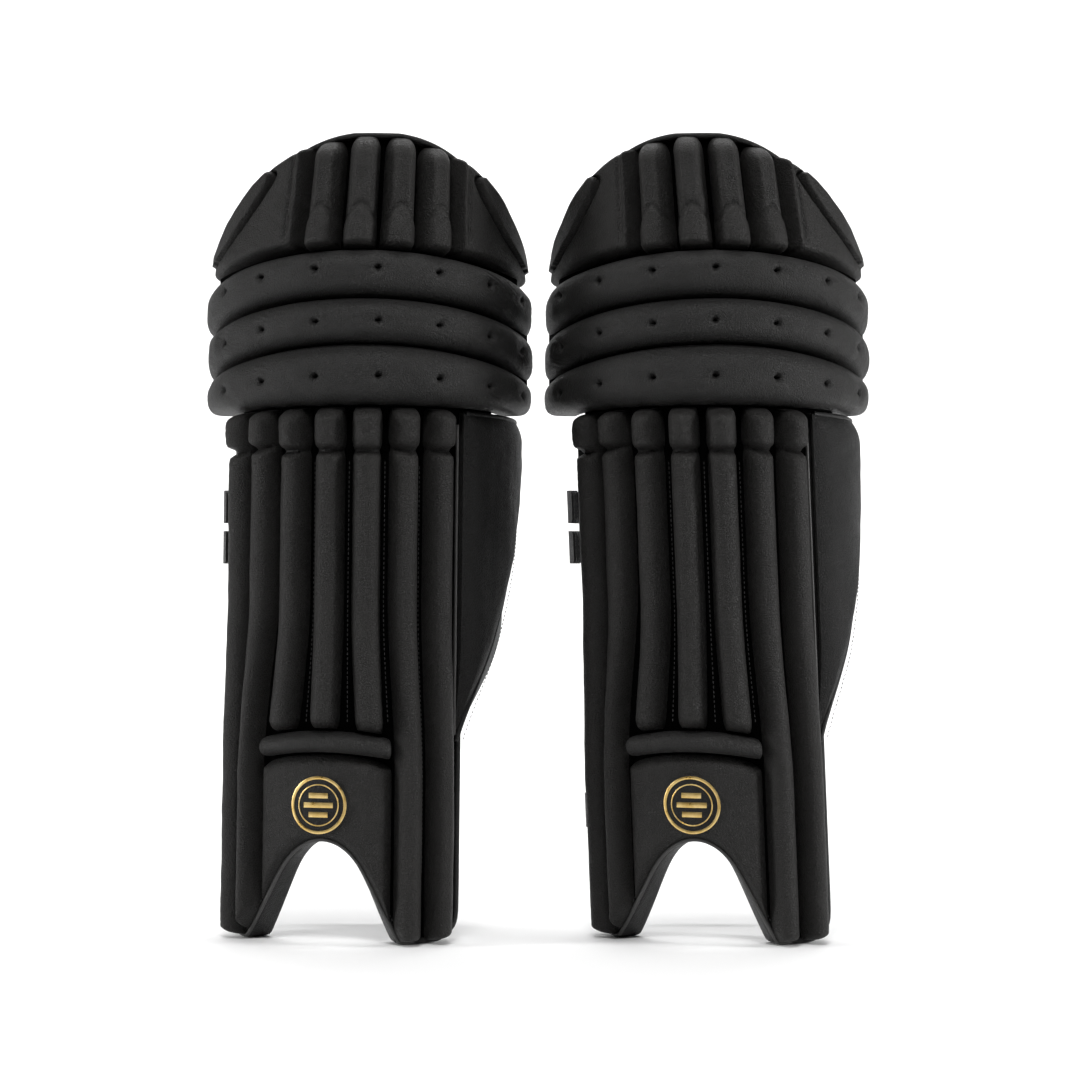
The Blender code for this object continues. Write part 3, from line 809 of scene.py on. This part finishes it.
def instep(pad):
    spread = eased(80)[None, :]
    angles = mix(*BAR_ANGLES, spread)
    share = down(26)
    ends = dome(spread, 9.0)
    tall = (BAR_HEIGHTS[1] - BAR_HEIGHTS[0]) / 2.0
    middle = sum(BAR_HEIGHTS) / 2.0 - instep_bend(angles)
    reach, rise = cross_section(26, 2.3)
    height = middle + tall * mix(0.6, 1.0, ends) * reach[:, None]
    radius = RIB_BASE + (RIB_CREST - 2.5 - RIB_BASE) * rise[:, None] * ends
    points = pad.place(radius, angles, height)
    radius = radius + 0.6 * rise[:, None] * ends * ripple(points, 24.0, pad.seed + 420)
    between(pad, "bar", radius, RIB_BASE - EDGE_LAP, angles, height, "shin", "roll", ["instep_bar"], 0.9)

    angles = hem_angles(*PANEL_ANGLES, 90)[None, :]
    width = PANEL_ANGLES[1] - PANEL_ANGLES[0]
    spread = (angles - PANEL_ANGLES[0]) / width
    share = eased(60)[:, None]
    shoulder = 13.0 * (1.0 - dome(spread, 4.2))
    top = PANEL_TOP - instep_bend(angles) - shoulder
    low = hem(angles) + 0.5
    height = low + (top - low) * share
    from_side = 127.0 * np.radians(np.minimum(spread, 1.0 - spread) * width)
    inset = np.minimum(np.minimum(height - low, top - height), from_side)
    crown = rounded(inset, 13.0, 2.4)
    radius = RIB_BASE + 1.6 + (PANEL_CREST - RIB_BASE - 1.6) * crown
    points = pad.place(radius, angles, height)
    seed = pad.seed + 430
    radius = radius + crown * (0.5 * ripple(points, 38.0, seed) + 0.18 * ripple(points, 11.0, seed + 1))
    between(pad, "panel", radius, RIB_BASE - EDGE_LAP, angles, height,
            "shin", "leather", ["instep_panel"], 0.7)


def shin_outline():
    """The bound edge of the shin: down the plain side, round the legs and the arch, up the wing side."""
    angles = hem_angles(*SHELL_ANGLES, 130)
    side = np.linspace(0.0, 1.0, 50)
    left_top = float(shin_top(SHELL_ANGLES[0])) - 2.0
    right_top = float(shin_top(SHELL_ANGLES[1])) - 2.0
    left = mix(left_top, float(hem(SHELL_ANGLES[0])) + 6.0, side)
    right = mix(float(hem(SHELL_ANGLES[1])) + 6.0, right_top, side)
    angle = np.concatenate([np.full(50, SHELL_ANGLES[0]), angles, np.full(50, SHELL_ANGLES[1])])
    height = np.concatenate([left, hem(angles), right])
    return angle, height


def smooth_line(values, times=3):
    for _ in range(times):
        middle = (values[:-2] + 2.0 * values[1:-1] + values[2:]) / 4.0
        values = np.concatenate([values[:1], middle, values[-1:]])
    return values


def shin_binding(pad):
    angle, height = shin_outline()
    angle, height = smooth_line(angle, 4), smooth_line(height, 4)
    depth = (LINING[0] + SHELL[1]) / 2.0 + 0.6
    path = pad.place(depth, angle, height)
    side = pad.outward(angle)
    other = unit(np.cross(along(path), side))
    half = (SHELL[1] - LINING[0]) / 2.0 + 1.2
    bar(pad, "binding", path, side, other, oval(half, 3.0, 18, 4.0), "shin", "binding")
    face = pad.place(SHELL[1] + 1.2, angle, height)
    arch = (across(angle) > -78.0) & (across(angle) < 80.0) & (height < 110.0)
    cord = face[arch] + other[arch] * 0.6 * MM
    # The cord's pale leather is a painted highlight along the arch edge.
    bar(pad, "arch_cord", cord, side[arch], other[arch], oval(1.9, 1.9, 8), "shin", "painted_highlight_piping")
    seam = face[arch] - other[arch] * 3.4 * MM + side[arch] * 0.2 * MM
    stitches(pad, "arch_stitches", seam, side[arch], "shin")


def groove_stitches(pad):
    """Thread along the seams at the foot of the grooves between the ribs."""
    for number in range(1, 7):
        low = SHORT_RIB_FOOT + 4.0 if number in (2, 3, 4, 5) else 60.0
        height = np.linspace(low, CREASE_HEIGHT - 8.0, 60)
        left, left_half = rib_spread(number, height)
        right, right_half = rib_spread(number + 1, height)
        angles = (left + left_half + right - right_half) / 2.0
        path = pad.place(SHELL[1] + 0.1, angles, height)
        stitches(pad, f"groove_{number}", path, pad.outward(angles), "shin")


# ===== badge

def badge(pad):
    """A plain gold ring round three bars: a generic mark."""

    def at(x, z, lift):
        angle = ARCH_ANGLE + np.degrees(x / PANEL_CREST)
        return pad.place(PANEL_CREST + lift, angle, BADGE_HEIGHT + z)

    turn = np.linspace(0.0, 2.0 * math.pi, 72, endpoint=False)
    for radius, width in BADGE_RINGS:
        path = at(radius * np.sin(turn), radius * np.cos(turn), 0.95)
        angle = ARCH_ANGLE + np.degrees(radius * np.sin(turn) / PANEL_CREST)
        side = pad.outward(angle)
        other = unit(np.cross(np.roll(path, -1, 0) - np.roll(path, 1, 0), side))
        section = oval(BADGE_RELIEF, width / 2.0, 10, 4.0)
        bar(pad, f"badge_ring_{int(radius)}", path, side, other, section, "shin", "gold", True)
    for number, half in enumerate(BADGE_BARS, start=1):
        run = np.linspace(-half, half, 14)
        z = (2 - number) * BADGE_BAR_PITCH
        path = at(run, np.full_like(run, z), 0.95)
        side = pad.outward(ARCH_ANGLE + np.degrees(run / PANEL_CREST))
        other = np.cross(along(path), side)
        section = oval(BADGE_RELIEF, 2.3, 10, 5.0)
        bar(pad, f"badge_bar_{number}", path, side, other, section, "shin", "gold")
    share = down(24)
    turns = np.linspace(0.0, 2.0 * math.pi, 73)[None, :]
    reach = BADGE_RADIUS * (0.02 + 0.98 * share)
    swell = 0.35 + 0.3 * np.sqrt(clip(1.0 - share ** 8))
    disc = at(reach * np.sin(turns), reach * np.cos(turns), swell)
    under = at(reach * np.sin(turns), reach * np.cos(turns), -0.6)
    layer(pad, "badge_ground", disc, under, "shin", "binding", ["badge"])


# ===== wing, wrap, patch, straps

def wing(pad):
    share = down(110)
    s = over(60)
    level = mix(WING_FOOT, SHIN_TOP - WING_BELOW_TOP, share)
    rise = clip((level - WING_FOOT) / (WING_FULL_HEIGHT - WING_FOOT))
    rear = mix(WING_FOOT_ANGLE, WING_ANGLES[1], rise ** WING_SWEEP)
    angle = mix(WING_ANGLES[0], rear, s)
    height = level - share * SHIN_DROOP * droop(angle)
    width = np.radians(rear - WING_ANGLES[0]) * WING[0]
    inset = np.minimum(np.minimum(s, 1.0 - s) * width, np.minimum(share, 1.0 - share) * 283.0)
    crown = rounded(inset, 20.0, 2.2)
    points = pad.place(WING[1], angle, height)
    soft = 0.9 * ripple(points, 90.0, pad.seed + 500) + 0.25 * ripple(points, 24.0, pad.seed + 501)
    base = WING[0] - WING_SINK * (1.0 - step(level, WING_FOOT, WING_FOOT + 90.0))
    thick = (WING[1] - WING[0]) * step(level, WING_FOOT - 20.0, WING_FOOT + 60.0)
    between(pad, "wing", base + mix(0.28, 1.0, crown) * thick + crown * soft, base, angle, height,
            "wing", "wing", ["wing"], 0.5)
    top_angle = mix(WING_ANGLES[0] + 1.0, WING_ANGLES[1], np.linspace(0, 1, 40))
    path_angle = np.concatenate([top_angle, rear[::-1, 0]])
    top = np.full(40, SHIN_TOP - WING_BELOW_TOP)
    rear_height = level - share * SHIN_DROOP * droop(rear)
    path_height = np.concatenate([top - SHIN_DROOP * droop(path_angle[:40]), rear_height[::-1, 0]])
    path_angle, path_height = smooth_line(path_angle, 5), smooth_line(path_height, 5)
    sink = WING_SINK * (1.0 - step(path_height, WING_FOOT, WING_FOOT + 90.0))
    path = pad.place(WING[0] + 1.4 - sink, path_angle, path_height)
    side = pad.outward(path_angle)
    other = np.cross(along(path), side)
    bar(pad, "wing_binding", path, side, other, oval(2.6, 2.2, 10, 2.6), "wing", "binding")
    inward = path - other * 5.0 * MM + side * 3.4 * MM
    seam_height = np.linspace(WING_FOOT + 6.0, SHIN_TOP - 14.0, 80)
    seam = pad.place(126.0, np.full(80, WING_ANGLES[0] - 1.5), seam_height)
    stitches(pad, "wing_stitches", inward[44:], side[44:], "wing")
    out, along_face = pad.outward(np.full(80, 40.1)), np.tile([0.76, 0.64, 0.0], (80, 1))
    # The seam cord's pale leather is a painted highlight along the edge of the wing.
    bar(pad, "wing_seam", seam, out, along_face, oval(1.5, 1.5, 8), "shin", "painted_highlight_piping")


def side_wrap(pad):
    edge = SHELL_ANGLES[1] + 1.4
    radius = SHELL[0] - 1.0
    s = over(50)
    t = down(90)
    height = mix(*WRAP_HEIGHTS, t) + 0.0 * s
    blend = 0.5 - 0.5 * np.cos(math.pi * clip((height - 130.0) / 150.0))

    def surface(offset):
        turn = np.radians(mix(edge, 104.0, s))
        start_x = radius * math.sin(math.radians(edge))
        low_x = mix(start_x, ANKLE_WRAP, np.minimum(1.0, 3.0 * s)) + 0.7 * offset
        low_y = mix(-radius * math.cos(math.radians(edge)), 20.0, s)
        high_x = (radius + offset) * np.sin(turn)
        high_y = -(radius + offset) * np.cos(turn)
        return pad.flat(mix(low_x, high_x, blend), mix(low_y, high_y, blend), height)

    points = surface(1.0)
    from_edge = np.minimum(np.minimum(s, 1.0 - s) * 9.0, np.minimum(t, 1.0 - t) * 22.0)
    edge_share = clip(from_edge) ** 0.5
    swell = 3.0 * edge_share + 0.3 * ripple(points, 30.0, pad.seed + 520)
    layer(pad, "side_wrap", surface(0.6 + swell), surface(0.0), "shin", "lining", ["side_wrap"], 0.3)


def patch(pad):
    s = np.linspace(*PATCH_ANGLES, 10)[None, :]
    t = np.linspace(*PATCH_HEIGHTS, 120)[:, None]
    crown = dome((s - PATCH_ANGLES[0]) / (PATCH_ANGLES[1] - PATCH_ANGLES[0]), 8.0)
    outer = pad.place(PATCH[0] + (PATCH[1] - PATCH[0]) * (0.5 + 0.5 * crown), s, t)
    inner = pad.place(PATCH[0] - 0.4, s, t)
    layer(pad, "loop_patch", outer, inner, "shin", "loop", ["strap_patch"])


def rounded_path(points, count):
    """A smooth plan curve through given points."""
    points = np.array(points)
    padded = np.concatenate([2 * points[:1] - points[1:2], points, 2 * points[-1:] - points[-2:-1]])
    curve = []
    for k in range(len(points) - 1):
        a, b, c, d = padded[k:k + 4]
        for t in np.linspace(0.0, 1.0, count, endpoint=False):
            second = (2 * a - 5 * b + 4 * c - d) * t ** 2
            third = (3 * b - a - 3 * c + d) * t ** 3
            curve.append(0.5 * (2 * b + (c - a) * t + second + third))
    curve.append(points[-1])
    return np.array(curve)


def offset_plan(pad, plan, normal, reach, height):
    x, y = (plan[None, :, axis] + normal[None, :, axis] * reach for axis in range(2))
    return pad.flat(x, y, height)


def strap(pad, name, path):
    low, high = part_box(f"{pad.name}_{name}")
    bottom, top = low[2] / MM, high[2] / MM
    plan = rounded_path(path, 9)
    run = unit(np.gradient(plan, axis=0))
    normal = np.stack([run[:, 1], -run[:, 0]], -1)
    share = down(13)
    length = np.arange(len(plan)) / (len(plan) - 1.0)
    taper = 1.0 - 0.24 * step(length, 0.975, 1.0)
    height = (bottom + top) / 2.0 + (top - bottom) * (share - 0.5) * taper[None, :]
    edge = dome(share, 10.0)
    rib = 0.18 * np.cos(2.0 * math.pi * share * 4.0)

    def skin(side):
        reach = side * (1.2 * edge + rib + 0.2)
        return offset_plan(pad, plan, normal, reach, height)

    layer(pad, name, skin(1.0), skin(-1.0), name, "webbing", [name])
    tab = length > 0.90
    tab_plan, tab_normal = plan[tab], normal[tab]
    tab_height = height[:, tab]

    def tab_skin(side_a):
        reach = side_a + 0.0 * tab_height
        return offset_plan(pad, tab_plan, tab_normal, reach, tab_height)

    return tab_skin


def straps(pad):
    for name, path in STRAPS:
        tab_skin = strap(pad, name, path)
        layer(pad, f"{name}_tab", tab_skin(3.6), tab_skin(1.7), name, "binding")
        layer(pad, f"{name}_hook", tab_skin(-1.5), tab_skin(-2.9), name, "loop")


# ===== knee

def roll_angles(dimples):
    """Angles along a knee roll, packed closely at its ends and at each dimple."""
    turn = np.linspace(-math.pi / 2.0, math.pi / 2.0, 190)
    spread = 0.55 * np.sin(turn) + 0.45 * turn / (math.pi / 2.0)
    fine = [at + np.linspace(-2.8, 2.8, 17) for at in dimples]
    angles = np.sort(np.concatenate([(ROLL_END + 2.0) * spread] + fine))
    keep = np.concatenate([[True], np.diff(angles) > 0.08])
    return angles[keep]


def knee_roll(pad, name):
    low, high, low_share, taper, dimple_height = ROLLS[name]
    places = range(-DIMPLES_EACH_SIDE, DIMPLES_EACH_SIDE + 1)
    dimples = [DIMPLE_TURN + pad.turn + k * DIMPLE_PITCH for k in places]
    dimples = [at for at in dimples if abs(at) < 74.0]
    angle = roll_angles(dimples)[None, :]
    share = np.abs(angle) / (ROLL_END + 2.0)
    fade = share ** 3
    end = clip(1.0 - share ** 60) ** 0.5
    reach, rise = cross_section(52, 2.7)
    reach = reach[:, None]
    rise = rise[:, None] ** (1.0 - 0.62 * fade)
    bottom, top = low - low_share * droop(angle), high - droop(angle)
    middle = (bottom + top) / 2.0
    tall = (top - bottom) / 2.0 * mix(1.0, taper, fade) * mix(0.6, 1.0, end)
    thick = (ROLL[1] - ROLL[0]) * mix(1.0, 0.93, fade) * end
    height = middle + tall * reach
    radius = ROLL[0] + thick * rise
    points = pad.place(radius, angle, height)
    seed = pad.seed + 600 + int(name[-1])
    soft = 0.8 * ripple(points, 80.0, seed) + 0.30 * ripple(points, 24.0, seed + 20)
    run = ROLL_FACE * np.radians(angle)
    wrinkle = np.sin(1.5 * (height - middle) + 0.55 * run + 2.5 * ripple(points, 26.0, seed + 30))
    patches = clip(ripple(points, 60.0, seed + 40) - 0.2)
    edge_line = 0.7 * bump(reach, 0.86, 0.05)
    radius = radius + rise * end * (soft + 0.5 * wrinkle * patches + edge_line)
    buttons = []
    for at in dimples:
        x = ROLL_FACE * np.radians(angle - at)
        z = height - (dimple_height - (low_share + 1.0) / 2.0 * droop(at))
        pinch = 6.5 * np.exp(-(x / 2.6) ** 2 - (z / 2.1) ** 2)
        hollow = 1.2 * np.exp(-(x / 10.0) ** 2 - (z / 6.0) ** 2)
        crease = 0.9 * np.exp(-(x / 11.0) ** 2) * np.exp(-((z - 0.04 * x) / 1.1) ** 2)
        radius = radius - (pinch + hollow + crease) * rise
        buttons.append((at, dimple_height - (low_share + 1.0) / 2.0 * droop(at)))
    between(pad, name, radius, ROLL[0] - 0.2 + 0.0 * radius, angle, height, name, "roll", [name], 0.9)
    # Real thread knots, coloured near-black as painted shade in the hole of each dimple.
    dress(tufts(pad, f"{pad.name}_{name}_tufts", buttons), pad, name, "gusset")


def tufts(pad, name, buttons):
    """Knots of black thread at the bottom of a roll's dimples."""
    points, faces = [], []
    for at, height in buttons:
        rise = np.linspace(0.0, math.pi / 2.0, 4)[:, None]
        turn = np.linspace(0.0, 2.0 * math.pi, 9)[:-1][None, :]
        spread = 1.9 * np.cos(rise) + 0.05
        radius = ROLL[1] - 8.2 + 1.6 * np.sin(rise) + 0.0 * turn
        across_knot = np.degrees(spread * np.cos(turn) / 143.0)
        grid = pad.place(radius, at + across_knot, height + spread * np.sin(turn))
        base = len(points)
        points += list(grid.reshape(-1, 3))
        index = base + np.arange(32).reshape(4, 8)
        faces += [tuple(face) for face in quads(np.concatenate([index, index[:, :1]], 1))]
        faces += [tuple(index[0][::-1]), tuple(index[-1])]
    return make_object(name, points, faces)


def gusset(pad, upper, low_edge, high_edge, share, limit):
    """A strip of leather that joins two neighbours behind the gap between them."""
    angle = np.linspace(-limit, limit, 120)[None, :]
    lap = 7.0
    height = np.linspace(low_edge - lap, high_edge + lap, 22)[:, None] - share * droop(angle)
    rise = GUSSET_END_RISE * share * (np.abs(angle) / 86.0) ** 2
    outer = pad.place(GUSSET[1] + rise, angle + 0.0 * height, height)
    inner = pad.place(GUSSET[0] + 0.0 * height, angle, height)
    item = solid(f"{pad.name}_gusset_{upper}", outer, inner)
    # Near-black leather: painted shade in the gap between the neighbours.
    item.data.materials.append(MATERIALS["gusset"])
    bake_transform(item)


def gussets(pad):
    roll_1, roll_2, roll_3 = (ROLLS[f"knee_roll_{number}"] for number in (1, 2, 3))
    gusset(pad, "knee_roll_3", SHIN_TOP, roll_3[0], SHIN_DROOP, 66.0)
    gusset(pad, "knee_roll_2", roll_3[1], roll_2[0], 1.0, 86.0)
    gusset(pad, "knee_roll_1", roll_2[1], roll_1[0], 1.0, 86.0)
    gusset(pad, "top_hat", roll_1[1], HAT_FOOT, 1.0, 76.0)


def knee_cup(pad):
    s = np.linspace(-1.0, 1.0, 60)[None, :]
    t = np.linspace(-1.0, 1.0, 40)[:, None]
    angle = 38.0 * s
    height = 529.5 + 26.0 * t - droop(angle)
    rim = clip(1.0 - np.maximum(np.abs(s), np.abs(t)) ** 10) ** 0.5
    quilt = 0.35 * (np.cos(math.pi * s * 3.0) + np.cos(math.pi * t * 2.0))
    hollow = (1.0 - s ** 2) * (1.0 - t ** 2)
    radius = 114.0 - (9.0 + 3.0 * hollow - quilt) * rim
    inner = pad.place(radius, angle + 0.0 * t, height)
    outer = pad.place(115.4 + 0.0 * radius, angle, height)
    layer(pad, "knee_cup", inner, outer, "knee_roll_2", "lining", ["knee_cup"], 0.7)


# ===== top hat

def hat_grid(pad, columns, rows, inset=0.0):
    """Angles and heights over the domed outline, packed closely under its crown."""
    s = np.linspace(-1.0, 1.0, columns)[None, :]
    t = down(rows)
    low = float(hat_foot(HAT_CORNER_ANGLE))
    crown = HAT_TOP - 1.5
    level = low + (crown - low) * (1.0 - (1.0 - t) ** 1.8)
    angle = (hat_edge(level) - inset) * s
    lift = (pad.foot_of_hat(angle) - low) * (1.0 - (level - low) / (crown - low))
    return angle, level + lift


def hat_back(pad):
    angle, height = hat_grid(pad, 90, 70)
    face, behind = pad.hat(HAT_BACK[1], angle, height), pad.hat(111.0, angle, height)
    # The face behind the ribs is near-black: painted shade between the ribs.
    layer(pad, "hat_face", face, behind, "top_hat", "gusset", ["top_hat_back"])
    angle, height = hat_grid(pad, 90, 70, 0.8)
    spread = angle / np.maximum(hat_edge(height), 6.0)
    channel = np.abs(np.cos(1.5 * math.pi * spread)) ** 0.5
    points = pad.hat(HAT_BACK[0], angle, height)
    edge = clip((1.0 - np.abs(spread)) * 9.0) ** 0.5
    swell = 4.0 * channel * edge + 0.5 * ripple(points, 28.0, pad.seed + 700)
    lining = pad.hat(HAT_BACK[0] + 4.5 - swell, angle, height)
    behind = pad.hat(110.6, angle, height)
    layer(pad, "hat_lining", lining, behind, "top_hat", "lining", ["top_hat_back"], 0.6)


def hat_outline(pad, count):
    """Angles and heights round the dome, from one lower corner over the crown to the other."""
    turn = np.linspace(-1.0, 1.0, count)
    angle = HAT_CORNER_ANGLE * np.sign(turn) * np.abs(turn) ** 1.1
    return angle, np.clip(hat_crown(angle), pad.foot_of_hat(angle) + 1.0, HAT_TOP - 1.0)


def hat_binding(pad):
    """Leather bound over the layered edge of the dome."""
    angle, height = hat_outline(pad, 170)
    middle, half = (HAT_BACK[0] + 126.0) / 2.0, (126.0 - HAT_BACK[0]) / 2.0
    path = pad.hat(middle, angle, height)
    side = pad.outward(angle + pad.turn)
    other = unit(np.cross(along(path), side))
    bar(pad, "hat_binding", path, side, other, oval(half, 2.6, 18, 4.0), "top_hat", "binding")


def hat_bolster(pad, node, side, inner_edge):
    """The side cushion, with an upright fold along its inner edge and a raised lobe at its outer edge."""
    s = eased(84)[None, :]
    t = down(90)
    low = float(hat_foot(HAT_CORNER_ANGLE)) + 1.0
    peak = float(hat_crown(inner_edge + 0.6)) - 1.0
    level = low + (peak - low) * (1.0 - (1.0 - t) ** 1.35)
    far = np.maximum(hat_edge(level) - 1.0, inner_edge + 1.2)
    angle = mix(inner_edge, far, s)
    foot = pad.foot_of_hat(side * angle) + 1.0
    height = level + (foot - low) * (1.0 - (level - low) / (peak - low))
    reach = BOLSTER_FACE * np.radians(angle - inner_edge)
    from_rim = BOLSTER_FACE * np.radians(far - angle)
    from_foot = height - foot
    inner_round = rounded(reach, 9.0, 2.4)
    rim_width = mix(5.0, 15.0, step(from_foot, 10.0, 60.0))
    rim_round = rounded(from_rim + 1.0, rim_width, 2.4)
    foot_round = rounded(from_foot, 9.0, 2.4)
    crown = inner_round * mix(0.55, 1.0, rim_round) * foot_round
    fold = 1.8 * bump(reach, 5.5, 3.0) - 2.4 * bump(reach, 11.0, 2.2)
    lobe_share = clip((from_foot - 14.0) / 62.0) ** 0.8
    lobe_width = 36.0 * dome(lobe_share, 2.0)
    inside = step(lobe_width, 2.0, 9.0)
    lobe = step(lobe_width - from_rim, -1.2, 2.4) * inside
    lobe_line = bump(lobe_width - from_rim, -1.8, 1.9) * inside
    relief = fold * step(from_foot, 6.0, 20.0) + 3.4 * lobe - 5.4 * lobe_line
    radius = HAT_BASE + (HAT_BOLSTER_CREST - HAT_BASE) * crown + crown * relief
    points = pad.hat(radius, side * angle, height)
    seed = pad.seed + 710 + side
    radius = radius + crown * (0.5 * ripple(points, 50.0, seed) + 0.2 * ripple(points, 16.0, seed + 5))
    outer = pad.hat(radius, side * angle, height)
    inner = pad.hat(HAT_BASE - EDGE_LAP, side * angle, height)
    layer(pad, node, outer, inner, "top_hat", "leather", [node], 0.8)


def top_hat(pad):
    hat_back(pad)
    hat_binding(pad)
    for number, angle in enumerate(HAT_RIB_ANGLES, start=1):
        hat_rib(pad, number, angle)
    for node, side, inner_edge in BOLSTERS:
        hat_bolster(pad, node, side, inner_edge)


def make_pad(pad):
    shin_face(pad)
    shin_lining(pad)
    for number in range(1, 8):
        shin_rib(pad, number)
    instep(pad)
    shin_binding(pad)
    groove_stitches(pad)
    badge(pad)
    wing(pad)
    side_wrap(pad)
    patch(pad)
    straps(pad)
    for name in ROLLS:
        knee_roll(pad, name)
    gussets(pad)
    knee_cup(pad)
    top_hat(pad)
    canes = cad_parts[f"{pad.name}_cane_mat"]
    canes.data.materials.clear()
    canes.data.materials.append(MATERIALS["cane"])


# ===== studio

FLOOR_FRONT = -1.1
FLOOR_BACK = 3.6
FLOOR_HALF_WIDTH = 6.0
SWEEP = 0.9
WALL_TOP = 5.0
AIM = (0.0, 0.0, 0.36)
# name, place, target, size in metres, power in watts
LIGHTS = (
    ("left_softbox", (-2.9, -0.7, 0.9), AIM, (0.5, 1.2), 50.0),
    ("right_softbox", (2.9, -0.7, 0.9), AIM, (0.5, 1.2), 66.0),
    ("front_softbox", (-0.1, -2.1, 2.9), AIM, (1.2, 0.8), 62.0),
    ("overhead", (0.0, 0.2, 2.8), (0.0, 0.2, 0.0), (2.2, 1.6), 38.0),
    ("backdrop_light", (0.0, 2.2, 3.6), (0.0, 4.2, 0.9), (4.0, 0.8), 190.0),
)
CAMERA_PLACE = (0.0017, 0.349)
CAMERA_DISTANCE = 2.30
VIEW_WIDTH = 0.917
SENSOR_WIDTH = 36.0


def area_light(name, place, target, size, power):
    light = bpy.data.lights.new(name, "AREA")
    light.shape = "RECTANGLE"
    light.size, light.size_y = size
    light.energy = power
    item = bpy.data.objects.new(name, light)
    item.location = place
    item.rotation_euler = (Vector(target) - Vector(place)).to_track_quat("-Z", "Y").to_euler()
    bpy.context.scene.collection.objects.link(item)


def studio():
    """A pale floor that sweeps up into a backdrop, and soft boxes on both sides and above."""
    profile = [(FLOOR_FRONT, 0.0), (FLOOR_BACK, 0.0)]
    turn = np.linspace(0.0, math.pi / 2.0, 14)[1:]
    profile += [(FLOOR_BACK + SWEEP * math.sin(a), SWEEP - SWEEP * math.cos(a)) for a in turn]
    profile += [(FLOOR_BACK + SWEEP, WALL_TOP)]
    points = [(x, y, z) for y, z in profile for x in (-FLOOR_HALF_WIDTH, FLOOR_HALF_WIDTH)]
    faces = [(2 * k, 2 * k + 1, 2 * k + 3, 2 * k + 2) for k in range(len(profile) - 1)]
    floor = make_object("studio_floor", points, faces, 60.0)
    paper = Nodes("pale_paper")
    tone = paper.noise(3.0, 2.0)
    paper.paint("Base Color", tone, (0.0, grey(0.86)), (1.0, grey(0.90)))
    paper.set(Roughness=0.9)
    floor.data.materials.append(paper.material)

    world = bpy.data.worlds.new("studio_world")
    world.use_nodes = True
    background = world.node_tree.nodes["Background"]
    background.inputs["Color"].default_value = (1.0, 1.0, 1.0, 1.0)
    background.inputs["Strength"].default_value = 0.02
    bpy.context.scene.world = world
    bpy.context.scene.view_settings.view_transform = "Standard"

    for light in LIGHTS:
        area_light(*light)


def camera():
    """Level with the middle of the pads, square to their fronts."""
    low = cad_box[0]
    lens = bpy.data.cameras.new("camera")
    lens.sensor_width = SENSOR_WIDTH
    lens.lens = SENSOR_WIDTH * CAMERA_DISTANCE / VIEW_WIDTH
    item = bpy.data.objects.new("camera", lens)
    item.location = (CAMERA_PLACE[0], low[1] - CAMERA_DISTANCE, CAMERA_PLACE[1])
    item.rotation_euler = (math.radians(90.0), 0.0, 0.0)
    bpy.context.scene.collection.objects.link(item)
    bpy.context.scene.camera = item


MATERIALS = make_materials()
for pad_name, settings in PADS.items():
    make_pad(Pad(pad_name, *settings))
studio()
camera()
